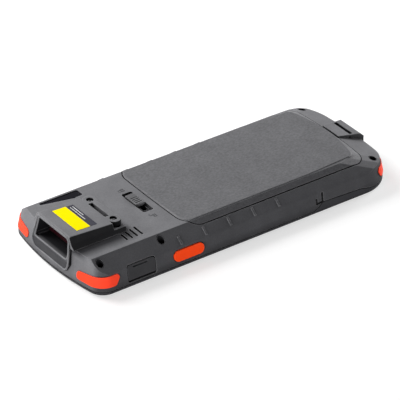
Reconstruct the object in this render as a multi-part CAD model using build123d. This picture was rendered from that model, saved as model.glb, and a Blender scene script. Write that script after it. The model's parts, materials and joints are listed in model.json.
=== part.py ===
"""Rugged handheld barcode terminal, as an assembly of separate pieces.

Frame: +X runs from the scanner end to the foot end, +Z out of the back.  The terminal lies on
its screen side, so the bezel is at Z = 0.  The origin is the centre of its length and width.
Millimetres throughout.
"""
from build123d import *
import os
from functools import lru_cache
from math import atan, degrees

# ---------------------------------------------------------------- housing
body_length = 171.0
body_width = 70.0
body_depth = 16.0
top_end_bulge = 4.1          # how far the scanner end bows out over the full width
foot_end_bulge = 2.7
top_corner_radius = 8.0
foot_corner_radius = 18.0
shoulder_inset = 8.8         # from the side to the crease where the flat back ends
side_draft = 1.4             # how far the side leans in up to the shoulder's lower edge
shoulder_drop = 5.8
side_wall_height = 3.0       # upright part of the side
shoulder_round = 3.0
smallest_round = 0.5         # left on an edge of an inner face
smallest_corner = 1.0
foot_slope_length = 18.4     # slope from the flat back down to the foot end
foot_slope_drop = 6.2
foot_hip_round = 16.0        # rounding between the shoulder and the foot slope
shell_wall = 1.8
front_edge_round = 1.5

# parting line between the front frame and the back shell
parting_height = 1.8
parting_step_height = 4.9
parting_fall_height = 4.1
parting_foot_height = 2.4
parting_step_start_from_foot = 49.5
parting_step_end_from_foot = 44.0
parting_fall_from_foot = 23.5
parting_foot_from_foot = 14.5
gasket_thickness = 0.4
gasket_recess = 0.35

# ---------------------------------------------------------------- fits
seam_gap = 0.15              # between two fixed pieces that show a seam
slide_gap = 0.25             # around keys and sliders
pin_gap = 0.05               # radial clearance of a pin or screw
seat_gap = 0.2               # under a piece that is held but not clamped

# ---------------------------------------------------------------- front
front_plate = 2.0
glass_start_setback = 15.5
glass_end_from_foot = 58.5
glass_side_margin = 5.0
glass_thickness = 0.8
glass_recess = 0.4
glass_corner = 3.0
display_border = 3.6         # glass beyond the display module
display_side_border = 3.0
display_thickness = 2.2
board_display_gap = 1.0
earpiece_setback = 8.5
earpiece_length = 15.0
earpiece_width = 6.0
earpiece_height = 2.2
earpiece_slot_length = 12.0
earpiece_slot_width = 1.4

# ---------------------------------------------------------------- keypad
key_rows = 5
key_columns = 3
first_key_row_from_foot = 50.0
key_row_pitch = 9.0
key_column_pitch = 17.0
key_length = 6.4             # along X
key_width = 13.5             # along Y
scan_key_width = 16.5        # the wide key in the middle of the first row
side_key_shrink = 2.6        # the two keys beside it are this much narrower
key_corner = 1.6
key_recess = 0.5
key_chamfer = 0.3
key_flange = 0.6
key_flange_thickness = 0.6
key_travel_room = 0.6
membrane_margin = 2.5
membrane_side_margin = 0.25
membrane_corner = 3.0

# ---------------------------------------------------------------- main board
board_thickness = 1.0
board_start_setback = 8.5
board_end_from_foot = 13.5
board_side_margin = 10.2
board_corner = 3.0
board_post_radius = 2.5
board_post_setback = 63.5
board_post_from_foot = 59.5
board_post_inset = 3.8       # from the board's edge
board_screw_radius = 0.9
board_screw_head_radius = 1.7
board_screw_head_height = 0.8
board_screw_reach = 1.4      # beyond the board into the post

# ---------------------------------------------------------------- battery bay and cover
cover_start_setback = 54.3
cover_end_from_foot = 13.5
cover_side_margin = 6.0
cover_start_bulge = 0.5
cover_end_bulge = 2.0
cover_thickness = 1.4
cover_seam = 0.4             # open groove around the cover
cover_front_corner = 9.5
cover_foot_corner = 6.0
panel_end_inset = 2.0        # from the cover's end
panel_end_bulge = 4.0
panel_edge_inset = 0.1       # from the crease to the panel's edge
panel_taper_length = 30.0
panel_draw_in = 1.6          # at each corner of its foot end, from the crease
panel_corner = 3.5
panel_raise = 0.45           # above the flat back
panel_front_inset = 0.5
panel_bevel = 0.45
ledge_width = 2.5
ledge_thickness = 1.4
bay_floor_rise = 2.6         # over the main board
bay_wall = 1.2
bay_floor_thickness = 1.0
bay_corner = 6.0
battery_foot_gap = 4.7       # to the bay's end
battery_gap = 0.4            # around the pack
battery_cover_gap = 1.4      # below the cover
battery_corner = 3.0
battery_edge = 0.6
contact_block_length = 1.9
contact_block_width = 14.0
contact_block_height = 4.0
contact_count = 4
contact_pitch = 3.0
contact_width = 1.2
contact_proud = 0.3
contact_low = 0.8            # above the bay's floor
contact_high = 3.2
seal_width = 1.2
seal_height = 1.0
seal_inset = 0.5
seal_foot_inset = 2.2        # keeps the ring clear of the tongues
tongue_y = 15.0
tongue_width = 8.0
tongue_thickness = 1.0
tongue_reach = 4.0           # under the ledge and beyond
tongue_swing_room = 2.2      # below a tongue, for the cover's tilt
tongue_lift_room = 0.8       # above it, in the bay's end wall

# ---------------------------------------------------------------- battery latch
latch_setback = 6.05         # from the cover's edge
latch_recess_length = 5.5    # along X
latch_recess_start = -8.4
latch_recess_end = 9.7
latch_recess_depth = 0.9
latch_recess_corner = 1.0
latch_length = 4.9
latch_width = 9.6
latch_rest_y = 7.4           # its far edge when locked
latch_travel = 6.0
latch_proud = 0.7
latch_stem_length = 2.2
latch_stem_width = 5.0
latch_foot_length = 4.6
latch_foot_width = 8.0
latch_foot_thickness = 0.9
latch_ridge_count = 4
latch_ridge_pitch = 1.3
latch_ridge_start = 1.8      # from its near edge
latch_ridge_half = 1.8
latch_ridge_width = 0.5
latch_corner = 0.8
latch_chamfer = 0.3
latch_float = 0.1            # above the floor of its recess

# ---------------------------------------------------------------- scanner cap
cap_roof_setback = 3.9        # front edge of the roof
cap_lip_setback = 0.4       # front of the lower lip
cap_rear_setback = 31.5
cap_rise_front = 5.2
cap_rise_rear = 3.9
cap_top_half = 12.7
cap_base_half = 14.6         # hump at the back, before its flare
cap_flare = 2.0
cap_flare_lean = 0.2
cap_lap = 1.5                # the hump starts this far in front of the roof's edge
cap_skirt = 1.0              # depth of its foot below the flat back
cap_rear_lean = 1.0          # of its rear face, outwards to the foot
cap_rear_reach = 0.2
cap_wall = 1.5
cap_edge_round = 0.9         # along both sides of its roof
mouth_wide_half = 15.0
mouth_wide_height = 8.4
mouth_base_half = 12.8
mouth_base = 4.2
mouth_corner = 2.2
mouth_depth = 6.0            # of the part that runs down the end of the housing
mouth_open_half_top = 11.5
mouth_open_half = 12.7
mouth_open_drop = 5.8
mouth_roof_wall = 1.5
mouth_bevel = 1.6
mouth_open_bevel = (0.6, 1.2)
mouth_lip = 2.5              # height of the lip under the opening, behind the front
cap_screw_setback = 28.4
cap_screw_y = 9.35
cap_ear_radius = 3.4
cap_body_end_setback = 25.3  # the wide part of the hump ends here, in front of the ears
cap_bar_end_setback = 30.7   # rear of the bar between the ears
curb_end_setback = 31.2      # low curbs that carry the hump's sides on past the ears
curb_height = 1.6            # above the flat back
curb_corner = 1.6
curb_gap = 0.9               # pocket between a curb and its ear
cap_slot_setback = 26.8
cap_slot_length = 2.2
cap_slot_half = 6.6
cap_slot_height = 2.0        # way out for the strap, behind the slot
scanner_bay_start_setback = 8.0
scanner_bay_end_setback = 23.9
scanner_bay_half = 12.4
scanner_bay_rise = 2.8       # over the main board
scanner_bay_wall = 1.2
window_setback = 9.9
window_thickness = 1.2
window_lean = 12.0
window_seat = 0.6            # depth of its lower edge behind the lip
engine_start_setback = 12.3
engine_end_setback = 23.1
engine_half = 10.8
engine_roof_gap = 0.6        # under the cap's roof
engine_lens_radius = 2.6
engine_lens_y = 5.2
engine_lens_length = 1.0
engine_lens_height = 5.8     # above the floor
engine_chamfer = 0.6
sticker_start_setback = 8.6
sticker_end_setback = 15.6
sticker_half = 9.8
sticker_thickness = 0.15

# ---------------------------------------------------------------- screws
top_screws = ((7.9, 6.4), (40.5, 6.4))   # from the scanner end and from the side
foot_screw = (9.9, 8.0)      # from the foot end and from the side
screw_boss_radius = 2.6
screw_hole_radius = 1.7
screw_head_radius = 1.5
screw_head_height = 1.4
screw_shank_radius = 0.9
screw_seat_drop = 6.4
foot_screw_seat_drop = 8.0
screw_tip = 1.2
frame_boss_radius = 2.4
screw_boss_split = 4.4       # where the shell's boss meets the frame's
cap_screw_head_radius = 1.35
cap_screw_bore_radius = 1.75  # of the deep bore around the head
cap_screw_seat_depth = 1.8   # below the roof
cap_screw_head_height = 0.9
cap_screw_depth = 4.5
cap_boss_radius = 2.4

# ---------------------------------------------------------------- strap lug at the foot end
lug_start_from_foot = 14.6
lug_start_half = 5.9
lug_end_from_foot = 1.8               # where its top turns down
lug_end_half = 8.2
lug_start_drop = 0.7
lug_end_drop = 2.6
lug_nose_drop = 4.4       # at the end of the housing
lug_slot_from_foot = 6.2
lug_slot_length = 2.1
lug_slot_half = 6.2
lug_bar_thickness = 2.8
lug_slot_depth = 8.8

# ---------------------------------------------------------------- corner bumpers
bumper_low = 4.3
bumper_high = 9.4
bumper_proud = 0.4
bumper_depth = 1.2
bumper_round = 1.6
bumper_top_reach = 15.9      # back from the end along the side, at its upper edge
bumper_foot_reach = 12.0
bumper_slant = 3.6           # by which its lower edge is shorter
bumper_across = 15.4         # in from each side along the end
bumper_end_drop = 1.4        # fall of its upper edge towards the middle

# ---------------------------------------------------------------- side keys
scan_key_setback = 51.7
scan_key_length = 16.2
scan_key_height = 5.0
scan_key_z = 6.5
side_key_proud = 0.6
side_key_flange = 0.6
side_key_flange_thickness = 0.9
side_key_inner_inset = 4.6
side_key_room = 0.7          # from the flange to its switch
power_key_setback = 77.5
power_key_length = 8.0
volume_key_setback = 97.5
volume_key_length = 20.0
small_key_height = 4.0
switch_length = 4.4
switch_height = 3.0
switch_depth = 1.8

# ---------------------------------------------------------------- port cover and port
flap_start_setback = 19.0
flap_end_setback = 33.7
flap_low = 3.2
flap_high = 10.5
flap_corner = 1.2
flap_seam = 0.3              # open groove around the port cover
flap_thickness = 1.3
flap_hinge_radius = 1.0
flap_draft_share = 0.2       # of the side's draft, at the height of the hinge
flap_web_height = 1.2        # where the knuckle meets the lid
flap_web_thickness = 1.2
flap_pin_radius = 0.45
flap_pin_overhang = 1.2
flap_notch_near_inset = 2.9  # from the flap's ends
flap_notch_far_inset = 3.8
flap_notch_height = 0.8
flap_notch_drop = 0.5
flap_notch_depth = 0.8
port_block_margin = 1.8
port_block_inset = 4.8
port_setback = 26.3
port_width = 9.0
port_height = 3.2
port_corner = 1.5
port_inner_inset = 10.5
port_outer_inset = 3.6
port_wall = 0.35
port_back_wall = 0.6
port_tongue = 0.7
port_tongue_half = 3.3
port_tongue_setback = 0.8    # behind the mouth of the port

# ---------------------------------------------------------------- small features of the shell
speaker_slot_setbacks = (27.0, 29.7, 32.4, 35.1)
speaker_slot_lengths = (5.6, 6.2, 6.7, 7.2)
speaker_slot_reach = 3.6     # beyond the speaker's middle, to the near side
speaker_gap = 0.6            # to the wall of the scanner bay
speaker_slot_width = 1.1
rib_count = 5
rib_setback = 49.0           # of the first one
rib_pitch = 13.5
rib_width = 1.0
rib_proud = 0.3
rib_outer_inset = 2.0
rib_inner_inset = 5.2
hook_from_foot = 46.1
hook_width = 4.6
hook_groove = 1.2
hook_low = 4.6
hook_high = 9.8
hook_short = 7.6
hook_depth = 1.1

# ---------------------------------------------------------------- camera, speaker, other inner pieces
camera_strip_start_setback = 11.5
camera_strip_end_setback = 31.7
camera_strip_low_inset = 14.8
camera_strip_high_inset = 10.0
camera_strip_tip = 1.2       # width of its narrow end
camera_strip_full = 6.0      # length of the part with the full width
camera_strip_corner = 1.0
camera_glass_thickness = 0.6
camera_glass_recess = 0.3
camera_setback = 27.1
camera_inset = 12.6
camera_size = 7.6
camera_far_cut = 1.2         # less on the side of the sloping shoulder
camera_height = 4.6
camera_lens_radius = 2.4
flash_setback = 20.9
flash_size = 3.4
flash_height = 1.6
flash_hole_radius = 1.1
speaker_length = 12.0
speaker_width = 9.6
speaker_height = 3.6
speaker_corner = 1.0
antenna_setback = 35.5
antenna_length = 9.0
antenna_low = -8.0
antenna_high = 16.0
antenna_thickness = 0.3
motor_setback = 41.5
motor_y = -10.0
motor_radius = 4.0
motor_height = 2.7
shield_start_setback = 67.5
shield_end_from_foot = 69.5
shield_half = 14.0
shield_height = 1.3
shield_corner = 1.2
cradle_contact_count = 5
cradle_contact_pitch = 3.0
cradle_contact_radius = 0.8
cradle_contact_height = 4.9
cradle_contact_length = 4.0
cradle_contact_recess = 0.2

# ---------------------------------------------------------------- derived places
half_length = body_length / 2
half_width = body_width / 2
crease_half = half_width - shoulder_inset
back_inside = body_depth - shell_wall
board_front = glass_recess + glass_thickness + display_thickness + board_display_gap
board_back = board_front + board_thickness

# heights below and above the flat back
shoulder_edge_height = body_depth - shoulder_drop
foot_slope_height = body_depth - foot_slope_drop
cap_roof_front = body_depth + cap_rise_front
cap_roof_rear = body_depth + cap_rise_rear
mouth_open_base = body_depth - mouth_open_drop
mouth_open_top = cap_roof_front - mouth_roof_wall
cap_screw_tip = body_depth - cap_screw_depth
screw_seat = body_depth - screw_seat_drop
foot_screw_seat = body_depth - foot_screw_seat_drop
lug_start_height = body_depth - lug_start_drop
lug_end_height = body_depth - lug_end_drop
lug_nose_height = body_depth - lug_nose_drop
lug_slot_floor = body_depth - lug_slot_depth
bay_floor = board_back + bay_floor_rise
scanner_bay_floor = board_back + scanner_bay_rise
engine_height = cap_roof_rear - cap_wall - engine_roof_gap - scanner_bay_floor
battery_height = body_depth - cover_thickness - battery_cover_gap - bay_floor

# places measured from the scanner end
glass_start = glass_start_setback - half_length
earpiece_x = earpiece_setback - half_length
board_start = board_start_setback - half_length
cover_start = cover_start_setback - half_length
cap_front_top = cap_roof_setback - half_length
cap_front_base = cap_lip_setback - half_length
cap_rear = cap_rear_setback - half_length
cap_screw_x = cap_screw_setback - half_length
cap_body_end = cap_body_end_setback - half_length
cap_bar_end = cap_bar_end_setback - half_length
curb_end = curb_end_setback - half_length
cap_slot_x = cap_slot_setback - half_length
scanner_bay_start = scanner_bay_start_setback - half_length
scanner_bay_end = scanner_bay_end_setback - half_length
window_x = window_setback - half_length
engine_start = engine_start_setback - half_length
engine_end = engine_end_setback - half_length
sticker_start = sticker_start_setback - half_length
sticker_end = sticker_end_setback - half_length
scan_key_x = scan_key_setback - half_length
power_key_x = power_key_setback - half_length
volume_key_x = volume_key_setback - half_length
flap_start = flap_start_setback - half_length
flap_end = flap_end_setback - half_length
port_x = port_setback - half_length
camera_strip_start = camera_strip_start_setback - half_length
camera_strip_end = camera_strip_end_setback - half_length
camera_x = camera_setback - half_length
flash_x = flash_setback - half_length
antenna_start = antenna_setback - half_length
motor_x = motor_setback - half_length
shield_start = shield_start_setback - half_length
latch_x = cover_start - latch_setback
flap_notch_start = flap_start + flap_notch_near_inset
flap_notch_end = flap_end - flap_notch_far_inset
speaker_slot_x = tuple(setback - half_length for setback in speaker_slot_setbacks)
rib_x = tuple(rib_setback + number * rib_pitch - half_length for number in range(rib_count))

# places measured from the foot end
parting_step_start = half_length - parting_step_start_from_foot
parting_step_end = half_length - parting_step_end_from_foot
parting_fall_start = half_length - parting_fall_from_foot
parting_foot_start = half_length - parting_foot_from_foot
glass_end = half_length - glass_end_from_foot
first_key_row_x = half_length - first_key_row_from_foot
board_end = half_length - board_end_from_foot
cover_end = half_length - cover_end_from_foot
lug_start = half_length - lug_start_from_foot
lug_end = half_length - lug_end_from_foot
lug_slot_x = half_length - lug_slot_from_foot
hook_x = half_length - hook_from_foot
shield_end = half_length - shield_end_from_foot
board_post_x = (board_post_setback - half_length, half_length - board_post_from_foot)
bay_start = cover_start + ledge_width
bay_end = cover_end - ledge_width
battery_end = bay_end - battery_foot_gap
panel_end = cover_end - panel_end_inset
panel_taper_start = panel_end - panel_taper_length

# places measured from the sides
glass_half = half_width - glass_side_margin
board_half = half_width - board_side_margin
cover_half = half_width - cover_side_margin
side_key_inner = half_width - side_key_inner_inset
port_block_inner = half_width - port_block_inset
port_inner = half_width - port_inner_inset
port_outer = half_width - port_outer_inset
rib_outer = half_width - rib_outer_inset
rib_inner = half_width - rib_inner_inset
camera_strip_low = half_width - camera_strip_low_inset
camera_strip_high = half_width - camera_strip_high_inset
camera_y = half_width - camera_inset
bay_half = cover_half - ledge_width
board_post_y = board_half - board_post_inset
panel_foot_half = crease_half - panel_draw_in
speaker_y = -(scanner_bay_half + scanner_bay_wall + speaker_gap + speaker_width / 2)
speaker_slot_start = speaker_y - speaker_slot_reach
speaker_slot_ends = tuple(speaker_slot_start + length for length in speaker_slot_lengths)
hinge_y = half_width - side_draft * flap_draft_share - flap_hinge_radius
hinge_z = flap_low + flap_hinge_radius
switch_outer = side_key_inner - side_key_room
switch_inner = switch_outer - switch_depth
housing_screws = (
    *((setback - half_length, half_width - inset) for setback, inset in top_screws),
    (half_length - foot_screw[0], half_width - foot_screw[1]),
)
beyond = 60.0                # farther than any face of the housing
through_back = (5.0, 30.0)   # heights of a prism that cuts the back and not the front


# ================================================================ helpers
def block(x0, x1, y0, y1, z0, z1):
    """Box between two opposite corners."""
    return Pos((x0 + x1) / 2, (y0 + y1) / 2, (z0 + z1) / 2) * Box(x1 - x0, y1 - y0, z1 - z0)


def upright(face, z0, z1):
    """Prism of an XY face between two heights."""
    return extrude(Pos(0, 0, z0) * face, amount=z1 - z0, dir=(0, 0, 1))


def crosswise(face, y0, y1):
    """Prism of an XZ face between two Y values."""
    return extrude(Pos(0, y0, 0) * (Plane.XZ * face), amount=y1 - y0, dir=(0, 1, 0))


def lengthwise(face, x0, x1):
    """Prism of a YZ face between two X values."""
    return extrude(Pos(x0, 0, 0) * (Plane.YZ * face), amount=x1 - x0, dir=(1, 0, 0))


def polygon(*points):
    return make_face(Polyline(*points, close=True))


def rod(x, y, radius, z0, z1):
    return Pos(x, y, (z0 + z1) / 2) * Cylinder(radius, z1 - z0)


def both_sides(piece):
    """A piece and its mirror image across the middle plane."""
    return piece + mirror(piece, about=Plane.XZ)


def rounded(x0, x1, y0, y1, radius):
    """Rounded rectangle in the XY plane."""
    return Pos((x0 + x1) / 2, (y0 + y1) / 2) * RectangleRounded(x1 - x0, y1 - y0, radius)


def bowed_outline(x0, x1, half, start_bulge, end_bulge, start_corner, end_corner):
    """Plan outline with bowed ends and rounded corners."""
    near_x = x0 + start_bulge
    far_x = x1 - end_bulge
    outline = make_face([
        Line((near_x, -half), (far_x, -half)),
        ThreePointArc((far_x, -half), (x1, 0), (far_x, half)),
        Line((far_x, half), (near_x, half)),
        ThreePointArc((near_x, half), (x0, 0), (near_x, -half)),
    ])
    outline = fillet(outline.vertices().group_by(Axis.X)[0], start_corner)
    return fillet(outline.vertices().group_by(Axis.X)[-1], end_corner)


# ================================================================ housing form
def plan_outline(inset=0.0):
    return bowed_outline(inset - half_length, half_length - inset, half_width - inset,
                         top_end_bulge, foot_end_bulge,
                         max(top_corner_radius - inset, smallest_corner),
                         max(foot_corner_radius - inset, smallest_corner))


def moved_in(corners, inset):
    """Corners of a counter-clockwise outline whose sides have all moved inwards by inset."""
    sides = []
    for start, end in zip(corners, corners[1:] + corners[:1]):
        along = Vector(*end) - Vector(*start)
        normal = Vector(-along.Y, along.X).normalized()
        sides.append((Vector(*start) + normal * inset, along))
    moved = []
    for (start, along), (next_start, next_along) in zip(sides[-1:] + sides[:-1], sides):
        gap = next_start - start
        turn = along.X * next_along.Y - along.Y * next_along.X
        share = (gap.X * next_along.Y - gap.Y * next_along.X) / turn
        corner = start + along * share
        moved.append((corner.X, corner.Y))
    return moved


def cross_section(inset=0.0):
    """Section across the housing: upright, then drafted side, shoulder and flat back."""
    right = [
        (half_width, -body_depth),
        (half_width, side_wall_height),
        (half_width - side_draft, shoulder_edge_height),
        (crease_half, body_depth),
    ]
    left = [(-y, z) for y, z in reversed(right)]
    section = polygon(*moved_in(right + left, inset))
    shoulder_edges = section.vertices().group_by(Axis.Y)[2]
    return fillet(shoulder_edges, max(shoulder_round - inset, smallest_round))


def foot_slope(inset=0.0):
    """Everything under the cone that slopes down to the foot end, as a half profile."""
    rise = (body_depth - foot_slope_height) / foot_slope_length
    bow_radius = (half_width ** 2 + foot_end_bulge ** 2) / (2 * foot_end_bulge)
    axis_x = half_length - bow_radius
    outer = half_length + beyond / 4
    crest = half_length - foot_slope_length - beyond / 4
    corners = [
        (axis_x + inset, -beyond / 4),
        (outer, -beyond / 4),
        (outer, foot_slope_height - rise * (outer - half_length)),
        (crest, foot_slope_height + rise * (half_length - crest)),
        (axis_x + inset, foot_slope_height + rise * (half_length - crest)),
    ]
    corners = moved_in(corners, inset)
    corners[0] = (axis_x, corners[0][1])
    corners[-1] = (axis_x, corners[-1][1])
    return polygon(*corners), axis_x


@lru_cache(maxsize=None)
def envelope(inset=0.0):
    """The housing's outer form, with every face but the bezel moved inwards by inset."""
    plan = plan_outline(inset)
    slope, axis_x = foot_slope(inset)
    draft = degrees(atan(side_draft / (shoulder_edge_height - side_wall_height)))
    tapered = extrude(Pos(0, 0, side_wall_height) * plan, amount=body_depth, taper=draft)
    tower = upright(plan, min(inset, 0.0), side_wall_height) + tapered
    cone = revolve(Plane.XZ * slope, axis=Axis((axis_x, 0, 0), (0, 0, 1)))
    form = tower & lengthwise(cross_section(inset), -beyond * 2, beyond * 2) & cone
    for cut in hip_cuts(inset):
        form -= cut
    return form


def hip_cuts(inset=0.0):
    """Flats that round the hips between the shoulders and the foot slope."""
    shoulder_normal = Vector(0, body_depth - shoulder_edge_height, shoulder_inset - side_draft).normalized()
    slope_normal = Vector(body_depth - foot_slope_height, 0, foot_slope_length).normalized()
    between = (shoulder_normal + slope_normal).normalized()
    bow_fall = foot_end_bulge * (crease_half / half_width) ** 2
    hip = Vector(half_length - foot_slope_length - bow_fall, crease_half, body_depth)
    centre = hip - between * (foot_hip_round / between.dot(slope_normal))
    cuts = []
    for share in (1 / 3, 2 / 3):
        normal = (shoulder_normal * share + slope_normal * (1 - share)).normalized()
        flat = Plane(centre + normal * (foot_hip_round - inset), z_dir=normal)
        cut = flat * Pos(0, 0, beyond / 2) * Box(beyond, beyond, beyond)
        cut &= block(0, 2 * beyond, 0, beyond, 0, beyond)
        cuts += [cut, mirror(cut, about=Plane.XZ)]
    return cuts


def skin(outer_inset, inner_inset):
    """Layer of the housing between two depths."""
    return envelope(outer_inset) - envelope(inner_inset)


def parting_profile(lift):
    """Side view of everything below the parting line, raised by lift."""
    far = half_length + 1
    return polygon(
        (-far, -1),
        (-far, parting_height + lift),
        (parting_step_start, parting_height + lift),
        (parting_step_end, parting_step_height + lift),
        (parting_fall_start, parting_fall_height + lift),
        (parting_foot_start, parting_foot_height + lift),
        (far, parting_foot_height + lift),
        (far, -1),
    )


def below_parting(lift=0.0):
    return crosswise(parting_profile(lift), -beyond, beyond)


def cover_outline(growth=0.0):
    outline = bowed_outline(cover_start, cover_end, cover_half, cover_start_bulge, cover_end_bulge,
                            cover_front_corner, cover_foot_corner)
    return offset(outline, growth) if growth else outline


def back_height(y, x=0.0):
    """Height of the outer surface above a point of the back."""
    shoulder_fall = (body_depth - shoulder_edge_height) / (shoulder_inset - side_draft)
    foot_fall = (body_depth - foot_slope_height) / foot_slope_length
    on_shoulder = body_depth - max(0.0, abs(y) - crease_half) * shoulder_fall
    on_slope = body_depth - max(0.0, x - half_length + foot_slope_length) * foot_fall
    return min(on_shoulder, on_slope)


# ================================================================ scanner cap
def roof_height(x):
    along = (x - cap_front_top) / (cap_rear - cap_front_top)
    return cap_roof_front + (cap_roof_rear - cap_roof_front) * along


def cap_profile():
    """Side view of the hump behind the mouth."""
    front = cap_front_top - cap_lap
    rear = cap_rear + cap_rear_reach
    return polygon(
        (front, body_depth - cap_skirt),
        (front, roof_height(front)),
        (rear, roof_height(rear)),
        (rear + cap_rear_lean, body_depth),
        (rear + cap_rear_lean, body_depth - cap_skirt),
    )


def hump_section():
    """Section across the roof and side walls, flared at their foot."""
    right = [
        (cap_base_half + cap_flare, body_depth),
        (cap_base_half - cap_flare_lean, body_depth + cap_flare),
        (cap_top_half, cap_roof_front + cap_rear_reach),
    ]
    section = polygon(*right, *[(-y, z) for y, z in reversed(right)])
    return fillet(section.vertices().group_by(Axis.Y)[1], cap_flare)


def hump():
    side = crosswise(cap_profile(), -beyond, beyond)
    wide = lengthwise(hump_section(), -beyond * 2, beyond) & side
    roof_sides = wide.edges().filter_by(lambda edge: edge.length > cap_body_end - cap_front_top
                                        and edge.center().Z > cap_roof_rear - cap_edge_round)
    return fillet(roof_sides, cap_edge_round) & upright(cap_plan(), 0, beyond)


def cap_plan():
    """Plan of the hump: behind its wide part, a bar joins two ears around the screws."""
    front = cap_front_top - cap_lap
    wide = cap_base_half + cap_flare
    body = polygon((front, -wide), (front, wide), (cap_body_end, wide), (cap_body_end, -wide))
    bar = polygon((cap_body_end - cap_wall, -cap_screw_y), (cap_body_end - cap_wall, cap_screw_y),
                  (cap_bar_end, cap_screw_y), (cap_bar_end, -cap_screw_y))
    ears = Circle(cap_ear_radius)
    return (body + bar + Pos(cap_screw_x, cap_screw_y) * ears
            + Pos(cap_screw_x, -cap_screw_y) * ears)


def curbs():
    """Low curbs that carry the flared sides on to the rear, with a pocket around each ear."""
    wide = cap_base_half + cap_flare
    plan = rounded(cap_body_end - 2 * curb_corner, curb_end, -wide, wide, curb_corner)
    low = upright(plan, body_depth, body_depth + curb_height)
    low &= lengthwise(hump_section(), -beyond * 2, beyond)
    low -= block(cap_body_end, beyond, -cap_screw_y, cap_screw_y, 0, beyond)
    pocket = rod(cap_screw_x, cap_screw_y, cap_ear_radius + curb_gap, 0, beyond)
    pocket &= block(cap_body_end, beyond, 0, beyond, 0, beyond)
    return low - both_sides(pocket)


def mouth_body():
    """The part that runs down the end of the housing and carries the rim of the mouth."""
    right = [
        (mouth_base_half, mouth_base),
        (mouth_wide_half, mouth_wide_height),
        (cap_top_half, cap_roof_front),
    ]
    section = polygon(*right, *[(-y, z) for y, z in reversed(right)])
    corners = section.vertices()
    section = fillet(corners.group_by(Axis.Y)[0], mouth_corner)
    section = fillet(section.vertices().group_by(Axis.Y)[-1], mouth_bevel)
    lean = (cap_front_top - cap_front_base) / (cap_roof_front - mouth_open_base)
    side = polygon(
        (cap_front_base, mouth_base - 1),
        (cap_front_base, mouth_wide_height),
        (cap_front_base + lean, mouth_open_base),
        (cap_front_top, cap_roof_front),
        (cap_front_top + mouth_depth, roof_height(cap_front_top + mouth_depth)),
        (cap_front_top + mouth_depth, mouth_open_base - mouth_lip),
        (cap_front_base + mouth_depth, mouth_base - 1),
    )
    return lengthwise(section, -beyond * 2, beyond) & crosswise(side, -beyond, beyond)


def mouth_opening():
    """Open space of the mouth, back to the scan window."""
    across, up = mouth_open_bevel
    right = [
        (mouth_open_half - across, mouth_open_base),
        (mouth_open_half, mouth_open_base + up),
        (mouth_open_half_top, mouth_open_top),
    ]
    section = polygon(*right, *[(-y, z) for y, z in reversed(right)])
    return lengthwise(section, -beyond * 2, scanner_bay_start + window_thickness)


def window_plate(thickness, half, low, high):
    """Leaning plate across the mouth."""
    height = high - low
    plate = Box(thickness, 2 * half, height)
    return Pos(window_x, 0, (low + high) / 2) * Rot(0, window_lean, 0) * plate


def scanner_cap():
    cap = hump() + mouth_body() + curbs()
    room_top = cap_roof_rear - cap_wall
    cap -= block(scanner_bay_start, scanner_bay_end, -scanner_bay_half, scanner_bay_half,
                 mouth_open_base, room_top)
    cap -= mouth_opening() + scan_window()
    slot = block(cap_slot_x - cap_slot_length / 2, cap_slot_x + cap_slot_length / 2,
                 -cap_slot_half, cap_slot_half, body_depth, beyond)
    way_out = block(cap_slot_x, beyond, -cap_slot_half, cap_slot_half,
                    body_depth, body_depth + cap_slot_height)
    cap -= slot + way_out
    seat = roof_height(cap_screw_x) - cap_screw_seat_depth
    for side in (-1, 1):
        y = side * cap_screw_y
        cap -= rod(cap_screw_x, y, cap_screw_bore_radius, seat, beyond)
        cap -= rod(cap_screw_x, y, board_screw_radius + pin_gap, 0, beyond)
    return cap


def scan_window():
    return window_plate(window_thickness, scanner_bay_half - seam_gap, mouth_open_base - window_seat,
                        cap_roof_rear - cap_wall - pin_gap)


def scan_engine():
    floor = scanner_bay_floor
    engine = block(engine_start, engine_end, -engine_half, engine_half, floor, floor + engine_height)
    engine = chamfer(engine.edges().filter_by(Axis.Z), engine_chamfer)
    for side in (-1, 1):
        barrel = Rot(0, -90, 0) * Cylinder(engine_lens_radius, engine_lens_length)
        engine += Pos(engine_start - engine_lens_length / 2, side * engine_lens_y,
                      floor + engine_lens_height) * barrel
    return engine


def roof_sticker():
    """Thin sticker that lies on the sloping roof."""
    length = sticker_end - sticker_start
    middle = (sticker_start + sticker_end) / 2
    fall = degrees(atan((cap_roof_front - cap_roof_rear) / (cap_rear - cap_front_top)))
    sheet = Pos(0, 0, sticker_thickness / 2) * Box(length, 2 * sticker_half, sticker_thickness)
    return Pos(middle, 0, roof_height(middle)) * Rot(0, fall, 0) * sheet


def cap_screws():
    seat = roof_height(cap_screw_x) - cap_screw_seat_depth
    screw = rod(cap_screw_x, cap_screw_y, board_screw_radius, cap_screw_tip, seat)
    screw += rod(cap_screw_x, cap_screw_y, cap_screw_head_radius, seat, seat + cap_screw_head_height)
    return screw_pair(screw)


def screw_pair(screw):
    return Compound(children=[screw.solid(), mirror(screw, about=Plane.XZ).solid()])


# ================================================================ back shell
def bumper_window(end):
    """Space of one corner bumper seen from the side and from the end; end is -1 or +1."""
    reach = bumper_top_reach if end < 0 else bumper_foot_reach
    outside = half_length + beyond / 4
    side_face = polygon(
        (end * outside, bumper_low),
        (end * (half_length - reach + bumper_slant), bumper_low),
        (end * (half_length - reach), bumper_high),
        (end * outside, bumper_high),
    )
    side_ends = side_face.vertices().sort_by(Axis.X)
    side_face = fillet(side_ends[2:] if end < 0 else side_ends[:2], bumper_round)
    inner = half_width - bumper_across
    end_face = polygon(
        (beyond, bumper_low),
        (beyond, bumper_high),
        (half_width - bumper_round, bumper_high),
        (inner, bumper_high - bumper_end_drop),
        (inner, bumper_low),
    )
    end_face = fillet(end_face.vertices().group_by(Axis.X)[0], bumper_round)
    return crosswise(side_face, 0, beyond) & lengthwise(end_face, -beyond * 2, beyond * 2)


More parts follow.
